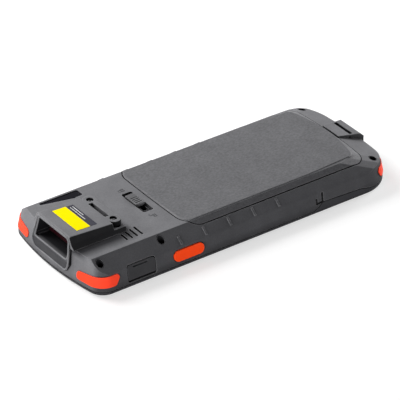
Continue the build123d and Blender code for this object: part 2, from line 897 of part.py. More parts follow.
def corner_bumper(end, side):
    bumper = skin(-bumper_proud, bumper_depth) & bumper_window(end)
    if side < 0:
        bumper = mirror(bumper, about=Plane.XZ)
    return bumper


def lug():
    """Raised strap lug at the foot end."""
    plan = polygon((lug_start, -lug_start_half), (half_length + 2, -lug_end_half),
                   (half_length + 2, lug_end_half), (lug_start, lug_start_half))
    side = polygon(
        (lug_start, foot_slope_height - 2),
        (lug_start, lug_start_height),
        (lug_end, lug_end_height),
        (half_length, lug_nose_height),
        (half_length, foot_slope_height - 2),
    )
    body = upright(plan, 0, beyond) & crosswise(side, -beyond, beyond)
    return body & upright(plan_outline(), 0, beyond)


def lug_slot():
    """Slot down through the lug, with a way out under its bar at the foot end."""
    down = block(lug_slot_x - lug_slot_length / 2, lug_slot_x + lug_slot_length / 2,
                 -lug_slot_half, lug_slot_half, lug_slot_floor, beyond)
    out = block(lug_slot_x, half_length + 1, -lug_slot_half, lug_slot_half,
                lug_slot_floor, lug_end_height - lug_bar_thickness)
    return down + out


def lug_pocket():
    """Walls around the lug's slot inside the shell."""
    wall = bay_wall
    room = block(lug_slot_x - lug_slot_length / 2 - wall, half_length, -lug_slot_half - wall,
                 lug_slot_half + wall, lug_slot_floor - wall, beyond)
    return room & envelope()


def side_capsule(x, length, height, growth, y0, y1):
    """Capsule-shaped prism through the far side wall."""
    face = Pos(x, scan_key_z) * SlotOverall(length + 2 * growth, height + 2 * growth)
    return crosswise(face, y0, y1)


def flap_window(growth=0.0):
    """Outline of the port cover in the near side, as a prism across the wall."""
    face = Pos((flap_start + flap_end) / 2, (flap_low + flap_high) / 2) * RectangleRounded(
        flap_end - flap_start + 2 * growth, flap_high - flap_low + 2 * growth, flap_corner)
    return crosswise(face, -beyond, 0)


def flap_pocket():
    """Recess for the port cover, its knuckle and its pin."""
    face = flap_window(flap_seam)
    depth = flap_thickness + seat_gap
    recess = face - envelope(depth)
    knuckle = block(flap_start - seam_gap, flap_end + seam_gap, -beyond, -hinge_y + flap_hinge_radius
                    + seat_gap, flap_low - seam_gap, hinge_z + flap_hinge_radius)
    pin = hinge_rod(flap_pin_radius, flap_start - flap_pin_overhang, flap_end + flap_pin_overhang)
    return recess + knuckle + pin


def hinge_rod(radius, x0, x1):
    return Pos((x0 + x1) / 2, -hinge_y, hinge_z) * Rot(0, 90, 0) * Cylinder(radius, x1 - x0)


def port_shape(growth):
    face = Pos(port_x, board_back + port_height / 2) * RectangleRounded(
        port_width + 2 * growth, port_height + 2 * growth, port_corner + growth)
    return face


def hook_groove_face():
    """J-shaped groove for a lanyard hook in the near side."""
    right = hook_x + hook_width / 2
    left = hook_x - hook_width / 2
    tall = block(right - hook_groove, right, -beyond, 0, hook_low, hook_high)
    foot = block(left, right, -beyond, 0, hook_low, hook_low + hook_groove)
    short = block(left, left + hook_groove, -beyond, 0, hook_low, hook_short)
    return (tall + foot + short) - envelope(hook_depth)


def grip_ribs():
    """Five short ribs on each shoulder."""
    ribs = skin(-rib_proud, shell_wall / 2)
    bars = [block(x - rib_width / 2, x + rib_width / 2, -rib_outer, -rib_inner, *through_back)
            for x in rib_x]
    return ribs & both_sides(bars[0].fuse(*bars[1:]))


def speaker_slots():
    slots = []
    for x, end in zip(speaker_slot_x, speaker_slot_ends):
        face = Pos(x, (speaker_slot_start + end) / 2) * Rot(0, 0, 90) * SlotOverall(
            end - speaker_slot_start, speaker_slot_width)
        slots.append(upright(face, back_inside - 1, body_depth + 1))
    return slots[0].fuse(*slots[1:])


def camera_strip(growth=0.0):
    """Tapering outline of the camera window, wide at the camera."""
    outline = polygon(
        (camera_strip_start, camera_strip_high - camera_strip_tip),
        (camera_strip_start, camera_strip_high),
        (camera_strip_end, camera_strip_high),
        (camera_strip_end, camera_strip_low),
        (camera_strip_end - camera_strip_full, camera_strip_low),
    )
    outline = fillet(outline.vertices().group_by(Axis.X)[-1], camera_strip_corner)
    return offset(outline, growth) if growth else outline


def screw_seat_height(x):
    return foot_screw_seat if x > 0 else screw_seat


def back_shell():
    shell = skin(0.0, shell_wall) - below_parting(gasket_thickness)

    # bosses of the housing screws, down to the bosses of the front frame
    for x, y in housing_screws:
        boss = rod(x, y, screw_boss_radius, screw_boss_split, beyond)
        shell += both_sides(boss) & envelope()
    # battery bay: ledge under the cover's edge, walls and floor
    ledge = upright(cover_outline(bay_wall), *through_back)
    ledge &= skin(cover_thickness + seat_gap, cover_thickness + ledge_thickness)
    tub = block(bay_start - bay_wall, bay_end + bay_wall, -bay_half - bay_wall, bay_half + bay_wall,
                bay_floor - bay_floor_thickness, beyond) & envelope(cover_thickness + seat_gap)
    shell += ledge
    shell += tub
    # scanner bay under the cap, with its floor, and the cap screws' bosses
    wall = scanner_bay_wall
    shell += block(scanner_bay_start - wall, scanner_bay_end + wall, -scanner_bay_half - wall,
                   scanner_bay_half + wall, scanner_bay_floor - wall, back_inside)
    shell += both_sides(rod(cap_screw_x, cap_screw_y, cap_boss_radius, cap_screw_tip - bay_wall,
                            back_inside + shell_wall / 2))
    # lug, its slot walls, port block, grip ribs and board posts
    shell += lug() + lug_pocket()
    margin = port_block_margin
    port_block = block(flap_start - margin, flap_end + margin, -half_width, -port_block_inner,
                       parting_height + gasket_thickness, flap_high + margin)
    shell += port_block & envelope()
    shell += grip_ribs()
    for x in board_post_x:
        shell += both_sides(rod(x, board_post_y, board_post_radius, board_back,
                                bay_floor - bay_floor_thickness / 2))

    # openings
    shell -= upright(cover_outline(), *through_back) - envelope(cover_thickness + seat_gap)
    shell -= upright(bay_opening(), bay_floor, beyond)
    shell -= tongue_slots()
    shell -= block(scanner_bay_start, scanner_bay_end, -scanner_bay_half, scanner_bay_half,
                   scanner_bay_floor, beyond)
    shell -= mouth_body() + mouth_opening()
    shell -= lug_slot()
    for side in (-1, 1):
        for x, y in housing_screws:
            shell -= rod(x, side * y, screw_hole_radius, screw_seat_height(x), beyond)
            shell -= rod(x, side * y, screw_shank_radius + pin_gap, 0, beyond)
        shell -= rod(cap_screw_x, side * cap_screw_y, board_screw_radius + pin_gap,
                     cap_screw_tip - seat_gap, beyond)
        for x in board_post_x:
            shell -= rod(x, side * board_post_y, board_screw_radius + pin_gap, 0,
                         board_back + board_screw_reach + seat_gap)
    for end in (-1, 1):
        shell -= both_sides(bumper_window(end) - envelope(bumper_depth))
    # keys, port and marks in the sides
    scan_hole = side_capsule(scan_key_x, scan_key_length, scan_key_height, slide_gap, switch_inner, beyond)
    shell -= both_sides(scan_hole)
    shell -= side_capsule(power_key_x, power_key_length, small_key_height, slide_gap, switch_inner, beyond)
    shell -= side_capsule(volume_key_x, volume_key_length, small_key_height, slide_gap, switch_inner, beyond)
    shell -= flap_pocket() + crosswise(port_shape(seat_gap), -beyond, -port_inner)
    shell -= hook_groove_face()
    shell -= latch_recess() + speaker_slots()
    # camera window, lens hole and flash hole
    shell -= upright(camera_strip(seam_gap),
                     body_depth - camera_glass_recess - camera_glass_thickness, beyond)
    shell -= rod(camera_x, camera_y, camera_lens_radius + seat_gap, 0, beyond)
    shell -= rod(flash_x, camera_y, flash_hole_radius, 0, beyond)
    # contacts at the foot end
    shell -= contact_pins()
    return shell


def bay_opening(growth=0.0):
    return rounded(bay_start - growth, bay_end + growth, -bay_half - growth, bay_half + growth, bay_corner)


def latch_recess():
    recess = rounded(latch_x - latch_recess_length / 2, latch_x + latch_recess_length / 2,
                     latch_recess_start, latch_recess_end, latch_recess_corner)
    slot_near = latch_rest_y - latch_width / 2 - latch_stem_width / 2 - latch_travel - slide_gap
    slot_far = latch_rest_y - latch_width / 2 + latch_stem_width / 2 + slide_gap
    slot_half = latch_stem_length / 2 + slide_gap
    slot = block(latch_x - slot_half, latch_x + slot_half, slot_near, slot_far, back_inside - 1, beyond)
    return upright(recess, body_depth - latch_recess_depth, beyond) + slot


# ================================================================ battery cover and what it closes
def tongue(side, growth=0.0):
    """L-shaped tongue that reaches under the ledge at the foot end."""
    y = side * tongue_y
    half = tongue_width / 2 + growth
    top = ledge_underside() - seat_gap + growth
    low = top - tongue_thickness - 2 * growth
    inner = bay_end - seat_gap - tongue_thickness
    arm = block(inner, bay_end + tongue_reach + growth, y - half, y + half, low, top)
    post = block(inner, inner + tongue_thickness, y - half, y + half, low,
                 back_height(0, bay_end) - cover_thickness / 2)
    return arm + post


def ledge_underside():
    return back_height(0, bay_end + tongue_reach) - cover_thickness - ledge_thickness - slide_gap


def tongue_slots():
    """Slots through the bay's end wall, with room for the tongues to swing out."""
    half = tongue_width / 2 + slide_gap
    top = ledge_underside()
    slot = block(bay_end - bay_wall / 2, bay_end + tongue_reach + slide_gap, tongue_y - half,
                 tongue_y + half, top - tongue_thickness - tongue_swing_room, top)
    wall_end = bay_end + bay_wall + slide_gap
    lift = block(bay_end - bay_wall / 2, wall_end, tongue_y - half, tongue_y + half, top,
                 top + tongue_lift_room)
    return both_sides(slot + lift)


def panel_outline():
    """Raised panel of the cover: straight sides that draw in a little towards the foot end."""
    half = crease_half - panel_edge_inset
    corner_x = panel_end - panel_end_bulge
    outline = make_face([
        Line((cover_start, -half), (panel_taper_start, -half)),
        Line((panel_taper_start, -half), (corner_x, -panel_foot_half)),
        ThreePointArc((corner_x, -panel_foot_half), (panel_end, 0), (corner_x, panel_foot_half)),
        Line((corner_x, panel_foot_half), (panel_taper_start, half)),
        Line((panel_taper_start, half), (cover_start, half)),
        Line((cover_start, half), (cover_start, -half)),
    ])
    return fillet(outline.vertices().group_by(Axis.X)[-1], panel_corner)


def battery_cover():
    cover = skin(0.0, cover_thickness) & upright(cover_outline(-cover_seam), *through_back)
    top = body_depth + panel_raise
    base = body_depth - cover_thickness + panel_bevel
    plate = upright(panel_outline(), base, top) & upright(cover_outline(-panel_front_inset), base, top)
    cover += chamfer(plate.faces().sort_by(Axis.Z)[-1].edges(), panel_bevel)
    for side in (-1, 1):
        cover += tongue(side)
    return cover


def battery_cover_seal():
    """Ring that closes the bay against the underside of the cover."""
    half = bay_half - seal_inset
    rings = []
    for inset in (0.0, seal_width):
        face = rounded(bay_start + seal_inset + inset, bay_end - seal_foot_inset - inset,
                       inset - half, half - inset, bay_corner - inset)
        rings.append(upright(face, body_depth - cover_thickness - seal_height, beyond))
    return (rings[0] - rings[1]) & envelope(cover_thickness)


def battery_pack():
    start = bay_start + contact_block_length + contact_proud + battery_gap
    half = bay_half - battery_gap
    pack = upright(rounded(start, battery_end, -half, half, battery_corner), bay_floor,
                   bay_floor + battery_height)
    faces = pack.faces().sort_by(Axis.Z)
    return chamfer(faces[0].edges() + faces[-1].edges(), battery_edge)


def battery_contacts():
    half = contact_block_width / 2
    body = block(bay_start, bay_start + contact_block_length, -half, half, bay_floor,
                 bay_floor + contact_block_height)
    for number in range(contact_count):
        y = (number - (contact_count - 1) / 2) * contact_pitch
        body += block(bay_start + contact_block_length - contact_proud,
                      bay_start + contact_block_length + contact_proud,
                      y - contact_width / 2, y + contact_width / 2, bay_floor + contact_low,
                      bay_floor + contact_high)
    return body


def battery_latch():
    """Thumb slider with a stem through the back and a foot inside."""
    near = latch_rest_y - latch_width
    base = body_depth - latch_recess_depth + latch_float
    top = body_depth + latch_proud
    thumb = block(latch_x - latch_length / 2, latch_x + latch_length / 2, near, latch_rest_y, base, top)
    thumb = fillet(thumb.edges().filter_by(Axis.Z), latch_corner)
    thumb = chamfer(thumb.faces().sort_by(Axis.Z)[-1].edges(), latch_chamfer)
    for number in range(latch_ridge_count):
        y = near + latch_ridge_start + number * latch_ridge_pitch
        thumb -= block(latch_x - latch_ridge_half, latch_x + latch_ridge_half,
                       y - latch_ridge_width / 2, y + latch_ridge_width / 2,
                       top - latch_ridge_width / 2, beyond)
    middle = latch_rest_y - latch_width / 2
    stem = block(latch_x - latch_stem_length / 2, latch_x + latch_stem_length / 2,
                 middle - latch_stem_width / 2, middle + latch_stem_width / 2,
                 back_inside - seat_gap - latch_foot_thickness / 2, base + latch_float)
    foot = block(latch_x - latch_foot_length / 2, latch_x + latch_foot_length / 2,
                 middle - latch_foot_width / 2, middle + latch_foot_width / 2,
                 back_inside - seat_gap - latch_foot_thickness, back_inside - seat_gap)
    return thumb + stem + foot


# ================================================================ front
def key_places():
    """Name, X, Y and width of every front key."""
    names = (
        ("key_back", "key_scan", "key_enter"),
        ("key_1", "key_2", "key_3"),
        ("key_4", "key_5", "key_6"),
        ("key_7", "key_8", "key_9"),
        ("key_star", "key_0", "key_hash"),
    )
    places = []
    for row in range(key_rows):
        for column in range(key_columns):
            x = first_key_row_x + row * key_row_pitch
            y = (1 - column) * key_column_pitch
            width = key_width
            if row == 0:
                width = scan_key_width if column == 1 else key_width - side_key_shrink
                y += (1 - column) * side_key_shrink / 2
            places.append((names[row][column], x, y, width))
    return places


def key_face(x, y, width, growth=0.0):
    return Pos(x, y) * RectangleRounded(key_length + 2 * growth, width + 2 * growth, key_corner)


def key_cap(x, y, width):
    inner = front_plate + slide_gap
    cap = upright(key_face(x, y, width), key_recess, inner + key_flange_thickness / 2)
    cap = chamfer(cap.faces().sort_by(Axis.Z)[0].edges(), key_chamfer)
    flange = Pos(x, y) * Rectangle(key_length + 2 * key_flange, width + 2 * key_flange)
    flange = upright(flange, inner, inner + key_flange_thickness)
    return cap + flange


def front_frame():
    frame = envelope() & below_parting()
    edge = frame.faces().sort_by(Axis.Z)[0].edges()
    frame = fillet(edge, front_edge_round)
    frame -= upright(plan_outline(shell_wall + seam_gap), front_plate, beyond)
    # bosses for the housing screws
    for x, y in housing_screws:
        frame += both_sides(rod(x, y, frame_boss_radius, front_plate / 2, screw_boss_split))
    # glass on its ledge, display opening, keys, earpiece slot
    glass_seat = glass_recess + glass_thickness
    frame -= upright(rounded(glass_start - seam_gap, glass_end + seam_gap, -glass_half - seam_gap,
                             glass_half + seam_gap, glass_corner), -1, glass_seat)
    border = display_border - seam_gap
    side_border = display_side_border - seam_gap
    frame -= block(glass_start + border, glass_end - border, side_border - glass_half,
                   glass_half - side_border, -1, beyond)
    for _, x, y, width in key_places():
        frame -= upright(key_face(x, y, width, slide_gap), -1, front_plate + 1)
    slot = Pos(earpiece_x, 0) * Rot(0, 0, 90) * SlotOverall(earpiece_slot_length, earpiece_slot_width)
    frame -= upright(slot, -1, front_plate)
    for side in (-1, 1):
        for x, y in housing_screws:
            frame -= rod(x, side * y, screw_shank_radius + pin_gap, screw_tip - seat_gap, beyond)
    return frame


def housing_gasket():
    band = below_parting(gasket_thickness) - below_parting()
    inner = upright(plan_outline(shell_wall), -1, beyond)
    return (band & envelope(gasket_recess)) - inner


def touch_glass():
    face = rounded(glass_start, glass_end, -glass_half, glass_half, glass_corner)
    return upright(face, glass_recess, glass_recess + glass_thickness)


def display_module():
    front = glass_recess + glass_thickness
    half = glass_half - display_side_border
    return block(glass_start + display_border, glass_end - display_border, -half, half,
                 front, front + display_thickness)


def earpiece():
    return Pos(earpiece_x, 0, front_plate + earpiece_height / 2) * Box(
        earpiece_width, earpiece_length, earpiece_height)


def keypad_membrane():
    flange_end = front_plate + slide_gap + key_flange_thickness
    last_x = first_key_row_x + (key_rows - 1) * key_row_pitch
    half = key_column_pitch + key_width / 2 + membrane_side_margin
    reach = key_length / 2 + membrane_margin
    sheet = rounded(first_key_row_x - reach, last_x + reach, -half, half, membrane_corner)
    return upright(sheet, flange_end + key_travel_room, board_front)


# ================================================================ board and what it carries
def main_board():
    board = upright(rounded(board_start, board_end, -board_half, board_half, board_corner),
                    board_front, board_back)
    for x, side in switch_places():
        y0, y1 = sorted((side * (board_half - 1), side * (switch_outer - seat_gap)))
        board += block(x - switch_length / 2, x + switch_length / 2, y0, y1, board_front, board_back)
    board += block(port_x - port_width / 2, port_x + port_width / 2, -port_block_inner + slide_gap,
                   -board_half + 1, board_front, board_back)
    for side in (-1, 1):
        for x in board_post_x:
            board -= rod(x, side * board_post_y, board_screw_radius + pin_gap, 0, beyond)
    return board


def switch_places():
    """X and side of each switch behind the side keys; the rocker has two."""
    quarter = volume_key_length / 4
    return [(scan_key_x, -1), (scan_key_x, 1), (power_key_x, 1),
            (volume_key_x - quarter, 1), (volume_key_x + quarter, 1)]


def side_switches():
    switches = []
    for x, side in switch_places():
        y0, y1 = sorted((side * switch_inner, side * switch_outer))
        switches.append(block(x - switch_length / 2, x + switch_length / 2, y0, y1,
                              board_back, board_back + switch_height))
    return Compound(children=[s.solid() for s in switches])


def board_screws():
    screws = []
    for x in board_post_x:
        for side in (-1, 1):
            y = side * board_post_y
            head = rod(x, y, board_screw_head_radius, board_front - board_screw_head_height, board_front)
            shank = rod(x, y, board_screw_radius, board_front - board_screw_head_height / 2,
                        board_back + board_screw_reach)
            screw = head + shank
            screws.append(screw.solid())
    return Compound(children=screws)


def usb_port():
    """Metal shell open to the side, with a tongue inside."""
    shell = crosswise(port_shape(0), -port_outer, -port_inner)
    shell -= crosswise(port_shape(-port_wall), -beyond, -port_inner - port_back_wall)
    middle = board_back + port_height / 2
    return shell + block(port_x - port_tongue_half, port_x + port_tongue_half,
                         -port_outer + port_tongue_setback, -port_inner - port_back_wall / 2,
                         middle - port_tongue / 2, middle + port_tongue / 2)


def shield_can():
    can = block(shield_start, shield_end, -shield_half, shield_half, board_back, board_back + shield_height)
    return chamfer(can.edges().filter_by(Axis.Z), shield_corner)


def vibration_motor():
    return rod(motor_x, motor_y, motor_radius, board_back, board_back + motor_height)


def camera_module():
    half = camera_size / 2
    top = back_inside
    body = block(camera_x - half, camera_x + half, camera_y - half, camera_y + half - camera_far_cut,
                 top - camera_height, top)
    lens_top = body_depth - camera_glass_recess - camera_glass_thickness
    return body + rod(camera_x, camera_y, camera_lens_radius, top - camera_height / 2, lens_top)


def flash_led():
    half = flash_size / 2
    top = back_inside
    return block(flash_x - half, flash_x + half, camera_y - half, camera_y + half,
                 top - flash_height, top)


def camera_window():
    top = body_depth - camera_glass_recess
    return upright(camera_strip(), top - camera_glass_thickness, top)


def speaker():
    x = (speaker_slot_x[0] + speaker_slot_x[-1]) / 2
    half = speaker_width / 2
    box = block(x - speaker_length / 2, x + speaker_length / 2, speaker_y - half, speaker_y + half,
                back_inside - speaker_height, back_inside)
    return chamfer(box.edges().filter_by(Axis.Z), speaker_corner)


def antenna():
    return block(antenna_start, antenna_start + antenna_length, antenna_low, antenna_high,
                 back_inside - antenna_thickness, back_inside)


def contact_pins():
    pins = []
    for number in range(cradle_contact_count):
        y = (number - (cradle_contact_count - 1) / 2) * cradle_contact_pitch
        x = half_length - cradle_contact_length / 2 - cradle_contact_recess
        pin = Rot(0, 90, 0) * Cylinder(cradle_contact_radius, cradle_contact_length)
        pins.append(Pos(x, y, cradle_contact_height) * pin)
    return pins[0].fuse(*pins[1:])


def cradle_contacts():
    return Compound(children=list(contact_pins().solids()))


# ================================================================ keys in the sides, port cover, screws
def side_key(x, length, height):
    """Key in the far side wall: proud face, stem and inner flange."""
    body = side_capsule(x, length, height, 0, side_key_inner, beyond) & envelope(-side_key_proud)
    flange = side_capsule(x, length, height, side_key_flange, side_key_inner,
                          side_key_inner + side_key_flange_thickness)
    return body + flange


def port_cover():
    """Flush lid with a knuckle along its lower edge and a finger notch at its upper edge."""
    lid = skin(0.0, flap_thickness) & flap_window()
    lid -= block(flap_start - 1, flap_end + 1, -beyond, 0, 0, hinge_z)
    lid += hinge_rod(flap_hinge_radius, flap_start, flap_end)
    lid += block(flap_start, flap_end, -hinge_y - flap_hinge_radius,
                 -hinge_y - flap_hinge_radius + flap_web_thickness,
                 hinge_z, hinge_z + flap_web_height) & envelope()
    lid -= hinge_rod(flap_pin_radius + pin_gap, flap_start - 1, flap_end + 1)
    notch_top = flap_high - flap_notch_drop
    notch = block(flap_notch_start, flap_notch_end, -beyond, 0, notch_top - flap_notch_height, notch_top)
    return lid - (notch - envelope(flap_notch_depth))


def port_cover_pin():
    return hinge_rod(flap_pin_radius, flap_start - flap_pin_overhang, flap_end + flap_pin_overhang)


def housing_screw_set():
    screws = []
    for x, y in housing_screws:
        for side in (-1, 1):
            seat = screw_seat_height(x)
            screw = rod(x, side * y, screw_shank_radius, screw_tip, seat + screw_head_height / 2)
            screw += rod(x, side * y, screw_head_radius, seat, seat + screw_head_height)
            screws.append(screw.solid())
    return Compound(children=screws)


# ================================================================ assembly
def near(piece):
    return mirror(piece, about=Plane.XZ)


def all_pieces():
    pieces = {
        "back_shell": back_shell() - scanner_cap_body(),
        "front_frame": front_frame(),
        "housing_gasket": housing_gasket(),
        "battery_cover": battery_cover(),
        "battery_cover_seal": battery_cover_seal(),
        "battery_pack": battery_pack(),
        "battery_contacts": battery_contacts(),
        "battery_latch": battery_latch(),
        "scanner_cap": scanner_cap(),
        "scanner_cap_screws": cap_screws(),
        "scan_window": scan_window(),
        "scan_engine": scan_engine(),
        "roof_sticker": roof_sticker(),
        "bumper_top_near": corner_bumper(-1, -1),
        "bumper_top_far": corner_bumper(-1, 1),
        "bumper_foot_near": corner_bumper(1, -1),
        "bumper_foot_far": corner_bumper(1, 1),
        "housing_screws": housing_screw_set(),
        "scan_key_near": near(side_key(scan_key_x, scan_key_length, scan_key_height)),
        "scan_key_far": side_key(scan_key_x, scan_key_length, scan_key_height),
        "power_key": side_key(power_key_x, power_key_length, small_key_height),
        "volume_rocker": side_key(volume_key_x, volume_key_length, small_key_height),
        "port_cover": port_cover(),
        "port_cover_pin": port_cover_pin(),
        "usb_port": usb_port(),
        "camera_window": camera_window(),
        "camera_module": camera_module(),
        "flash_led": flash_led(),
        "speaker": speaker(),
        "antenna": antenna(),
        "touch_glass": touch_glass(),
        "display_module": display_module(),
        "earpiece": earpiece(),
        "keypad_membrane": keypad_membrane(),
        "main_board": main_board(),
        "board_screws": board_screws(),
        "side_switches": side_switches(),
        "shield_can": shield_can(),
        "vibration_motor": vibration_motor(),
        "cradle_contacts": cradle_contacts(),
    }
    for name, x, y, width in key_places():
        pieces[name] = key_cap(x, y, width)
    return pieces


def scanner_cap_body():
    """Solid form of the cap where it stands in the housing."""
    return (hump() + mouth_body()) & envelope()


def main():
    os.makedirs("parts", exist_ok=True)
    for name, piece in all_pieces().items():
        export_step(piece, f"parts/{name}.step")


main()
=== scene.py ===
"""A rugged barcode data terminal, lying on its screen side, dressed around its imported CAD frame.

The CAD nodes keep their shapes and get procedural finishes. The pieces made here are small: screws
with a cross recess, marks on the keys and beside the latch, a strip behind the yellow sticker, and
beads around the scanner mouth. X runs from the scanner end to the foot, and Z up from the floor.
"""
import json
import math

import bmesh
import bpy
from mathutils import Matrix, Vector

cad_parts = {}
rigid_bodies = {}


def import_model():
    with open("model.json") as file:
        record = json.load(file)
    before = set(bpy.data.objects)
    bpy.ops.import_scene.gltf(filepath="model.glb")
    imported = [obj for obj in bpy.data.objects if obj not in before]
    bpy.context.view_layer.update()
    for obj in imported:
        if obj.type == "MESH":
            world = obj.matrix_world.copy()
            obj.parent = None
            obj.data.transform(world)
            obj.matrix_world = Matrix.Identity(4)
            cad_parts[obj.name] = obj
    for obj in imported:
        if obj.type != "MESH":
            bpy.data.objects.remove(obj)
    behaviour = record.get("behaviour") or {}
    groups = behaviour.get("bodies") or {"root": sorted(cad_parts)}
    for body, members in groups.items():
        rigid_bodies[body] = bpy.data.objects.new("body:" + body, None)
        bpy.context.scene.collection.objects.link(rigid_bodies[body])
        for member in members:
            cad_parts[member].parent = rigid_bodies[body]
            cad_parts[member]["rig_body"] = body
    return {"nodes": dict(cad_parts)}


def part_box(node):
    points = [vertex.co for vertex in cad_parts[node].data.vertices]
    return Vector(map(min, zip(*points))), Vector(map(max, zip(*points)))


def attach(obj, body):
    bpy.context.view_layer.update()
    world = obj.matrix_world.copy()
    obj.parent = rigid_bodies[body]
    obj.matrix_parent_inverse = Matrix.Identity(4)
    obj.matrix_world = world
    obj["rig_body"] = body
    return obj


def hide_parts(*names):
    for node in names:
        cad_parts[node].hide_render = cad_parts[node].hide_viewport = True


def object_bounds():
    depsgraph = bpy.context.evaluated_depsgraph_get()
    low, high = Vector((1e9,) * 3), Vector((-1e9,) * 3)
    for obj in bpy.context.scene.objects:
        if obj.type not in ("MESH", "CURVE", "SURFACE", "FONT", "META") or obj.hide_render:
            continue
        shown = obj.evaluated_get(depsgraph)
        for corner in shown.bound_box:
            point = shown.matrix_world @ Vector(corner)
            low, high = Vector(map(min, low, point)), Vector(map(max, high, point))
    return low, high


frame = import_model()
cad_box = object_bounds()
nodes = frame["nodes"]

MM = 0.001
BACK_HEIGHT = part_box("back_shell")[1].z      # of the flat back above the floor


# ---------------------------------------------------------------- colours and shading values
COLOURS = {                      # linear red, green and blue
    # housing and cap
    "housing": (0.150, 0.150, 0.158),
    "painted_wall_shade": (0.066, 0.066, 0.071),           # painted shade on the walls of the long sides, for their facing away from the light
    "frame": (0.040, 0.040, 0.044),
    "gasket": (0.018, 0.018, 0.019),
    "cap": (0.150, 0.150, 0.158),
    # painted shade on the cap's sides, which face away from the light
    "cap_side_painted_shade": (0.010, 0.010, 0.011),
    "rim": (0.160, 0.160, 0.168),
    "latch": (0.110, 0.110, 0.115),
    "flap": (0.042, 0.042, 0.045),
    "hollow_painted_shade": (0.014, 0.014, 0.016),         # painted shade in holes, seams and recesses
    "inner_plastic": (0.03, 0.03, 0.033),
    # the cover's panel; painted shade on its near and far slopes, painted light on its slope to the foot,
    # and a painted highlight on its bends
    "cover": (0.122, 0.122, 0.128),
    "cover_side_painted_shade": (0.068, 0.068, 0.073),
    "cover_foot_painted_light": (0.190, 0.190, 0.198),
    "cover_bend_painted_highlight": (0.24, 0.24, 0.25),
    # rubber and keys
    "bumper": (0.95, 0.060, 0.024),
    "orange_key": (1.0, 0.064, 0.006),
    "side_key": (0.05, 0.05, 0.055),
    "key": (0.055, 0.055, 0.060),
    # edges, with scuffs and a painted highlight
    "plastic_scuff_highlight": (0.30, 0.30, 0.31),
    "frame_scuff_highlight": (0.13, 0.13, 0.14),
    "flap_scuff_highlight": (0.16, 0.16, 0.17),
    "bumper_scuff_highlight": (1.0, 0.2, 0.12),
    "orange_key_worn": (1.0, 0.18, 0.08),
    # print
    "sticker": (0.86, 0.70, 0.0),
    "pale_print": (0.62, 0.62, 0.62),
    "dark_print": (0.09, 0.09, 0.095),
    "strip_print": (0.045, 0.045, 0.058),
    # glass
    "touch_glass": (0.004, 0.004, 0.005),
    "display_off": (0.012, 0.014, 0.02),
    "display": (0.008, 0.009, 0.012),
    "scan_window": (0.020, 0.004, 0.006),
    "camera_window": (0.004, 0.004, 0.007),
    "flash_led": (0.75, 0.68, 0.36),
    # inside
    "battery": (0.03, 0.03, 0.035),
    "battery_band": (0.30, 0.31, 0.33),
    "battery_contacts": (0.02, 0.02, 0.02),
    "board": (0.012, 0.085, 0.035),
    "tracks": (0.03, 0.17, 0.07),
    "speaker_cloth": (0.012, 0.012, 0.013),
    "steel": (0.50, 0.50, 0.51),
    "screw": (0.22, 0.22, 0.23),
    "black_screw": (0.02, 0.02, 0.022),
    "gold": (0.80, 0.58, 0.22),
    "antenna": (0.60, 0.42, 0.20),
}

COAT_ROUGHNESS = 0.12
PLASTIC_SPECULAR = 0.05
GLASS_SPECULAR = 0.4
NOISE_SPAN = (0.3, 0.7)          # most of what a noise texture gives
SHELTER_SPAN = (0.25, 0.85)      # ambient occlusion of a seam and of an open face
SHADER_SAMPLES = 6
FADE_LIMIT = 0.9                 # share of a box's half width that its fading edge can take

# Cosines between the rounded and the true normal: of a plain face and of a full edge or bend. Edges take
# scuffs and a painted highlight, bends a painted highlight.
EDGE_TURN = (0.999, 0.90)
BEND_TURN = (0.9995, 0.98)
SHARP_TURN = (0.92, 0.96)        # sharper edges than this are no bends

# Shares of a face's normal along an axis where a colour starts and where it is full. They place painted
# shade on the long sides' walls, on the cover's slopes and on its upright faces, and painted light on its
# slope to the foot.
WALL_TURN = (0.26, 0.62)
COVER_SIDE_TURN = (0.30, 0.50)
COVER_FOOT_TURN = (0.06, 0.16)
UPRIGHT_TURN = (0.35, 0.15)

# Painted shade towards the floor: the heights where the colour is darkest and where it is full.
WALL_SHADE_HEIGHTS = (0.5 * MM, 5.5 * MM)
HOUSING_SHADE = 0.36             # what the housing's colour keeps at its lowest, in that painted shade
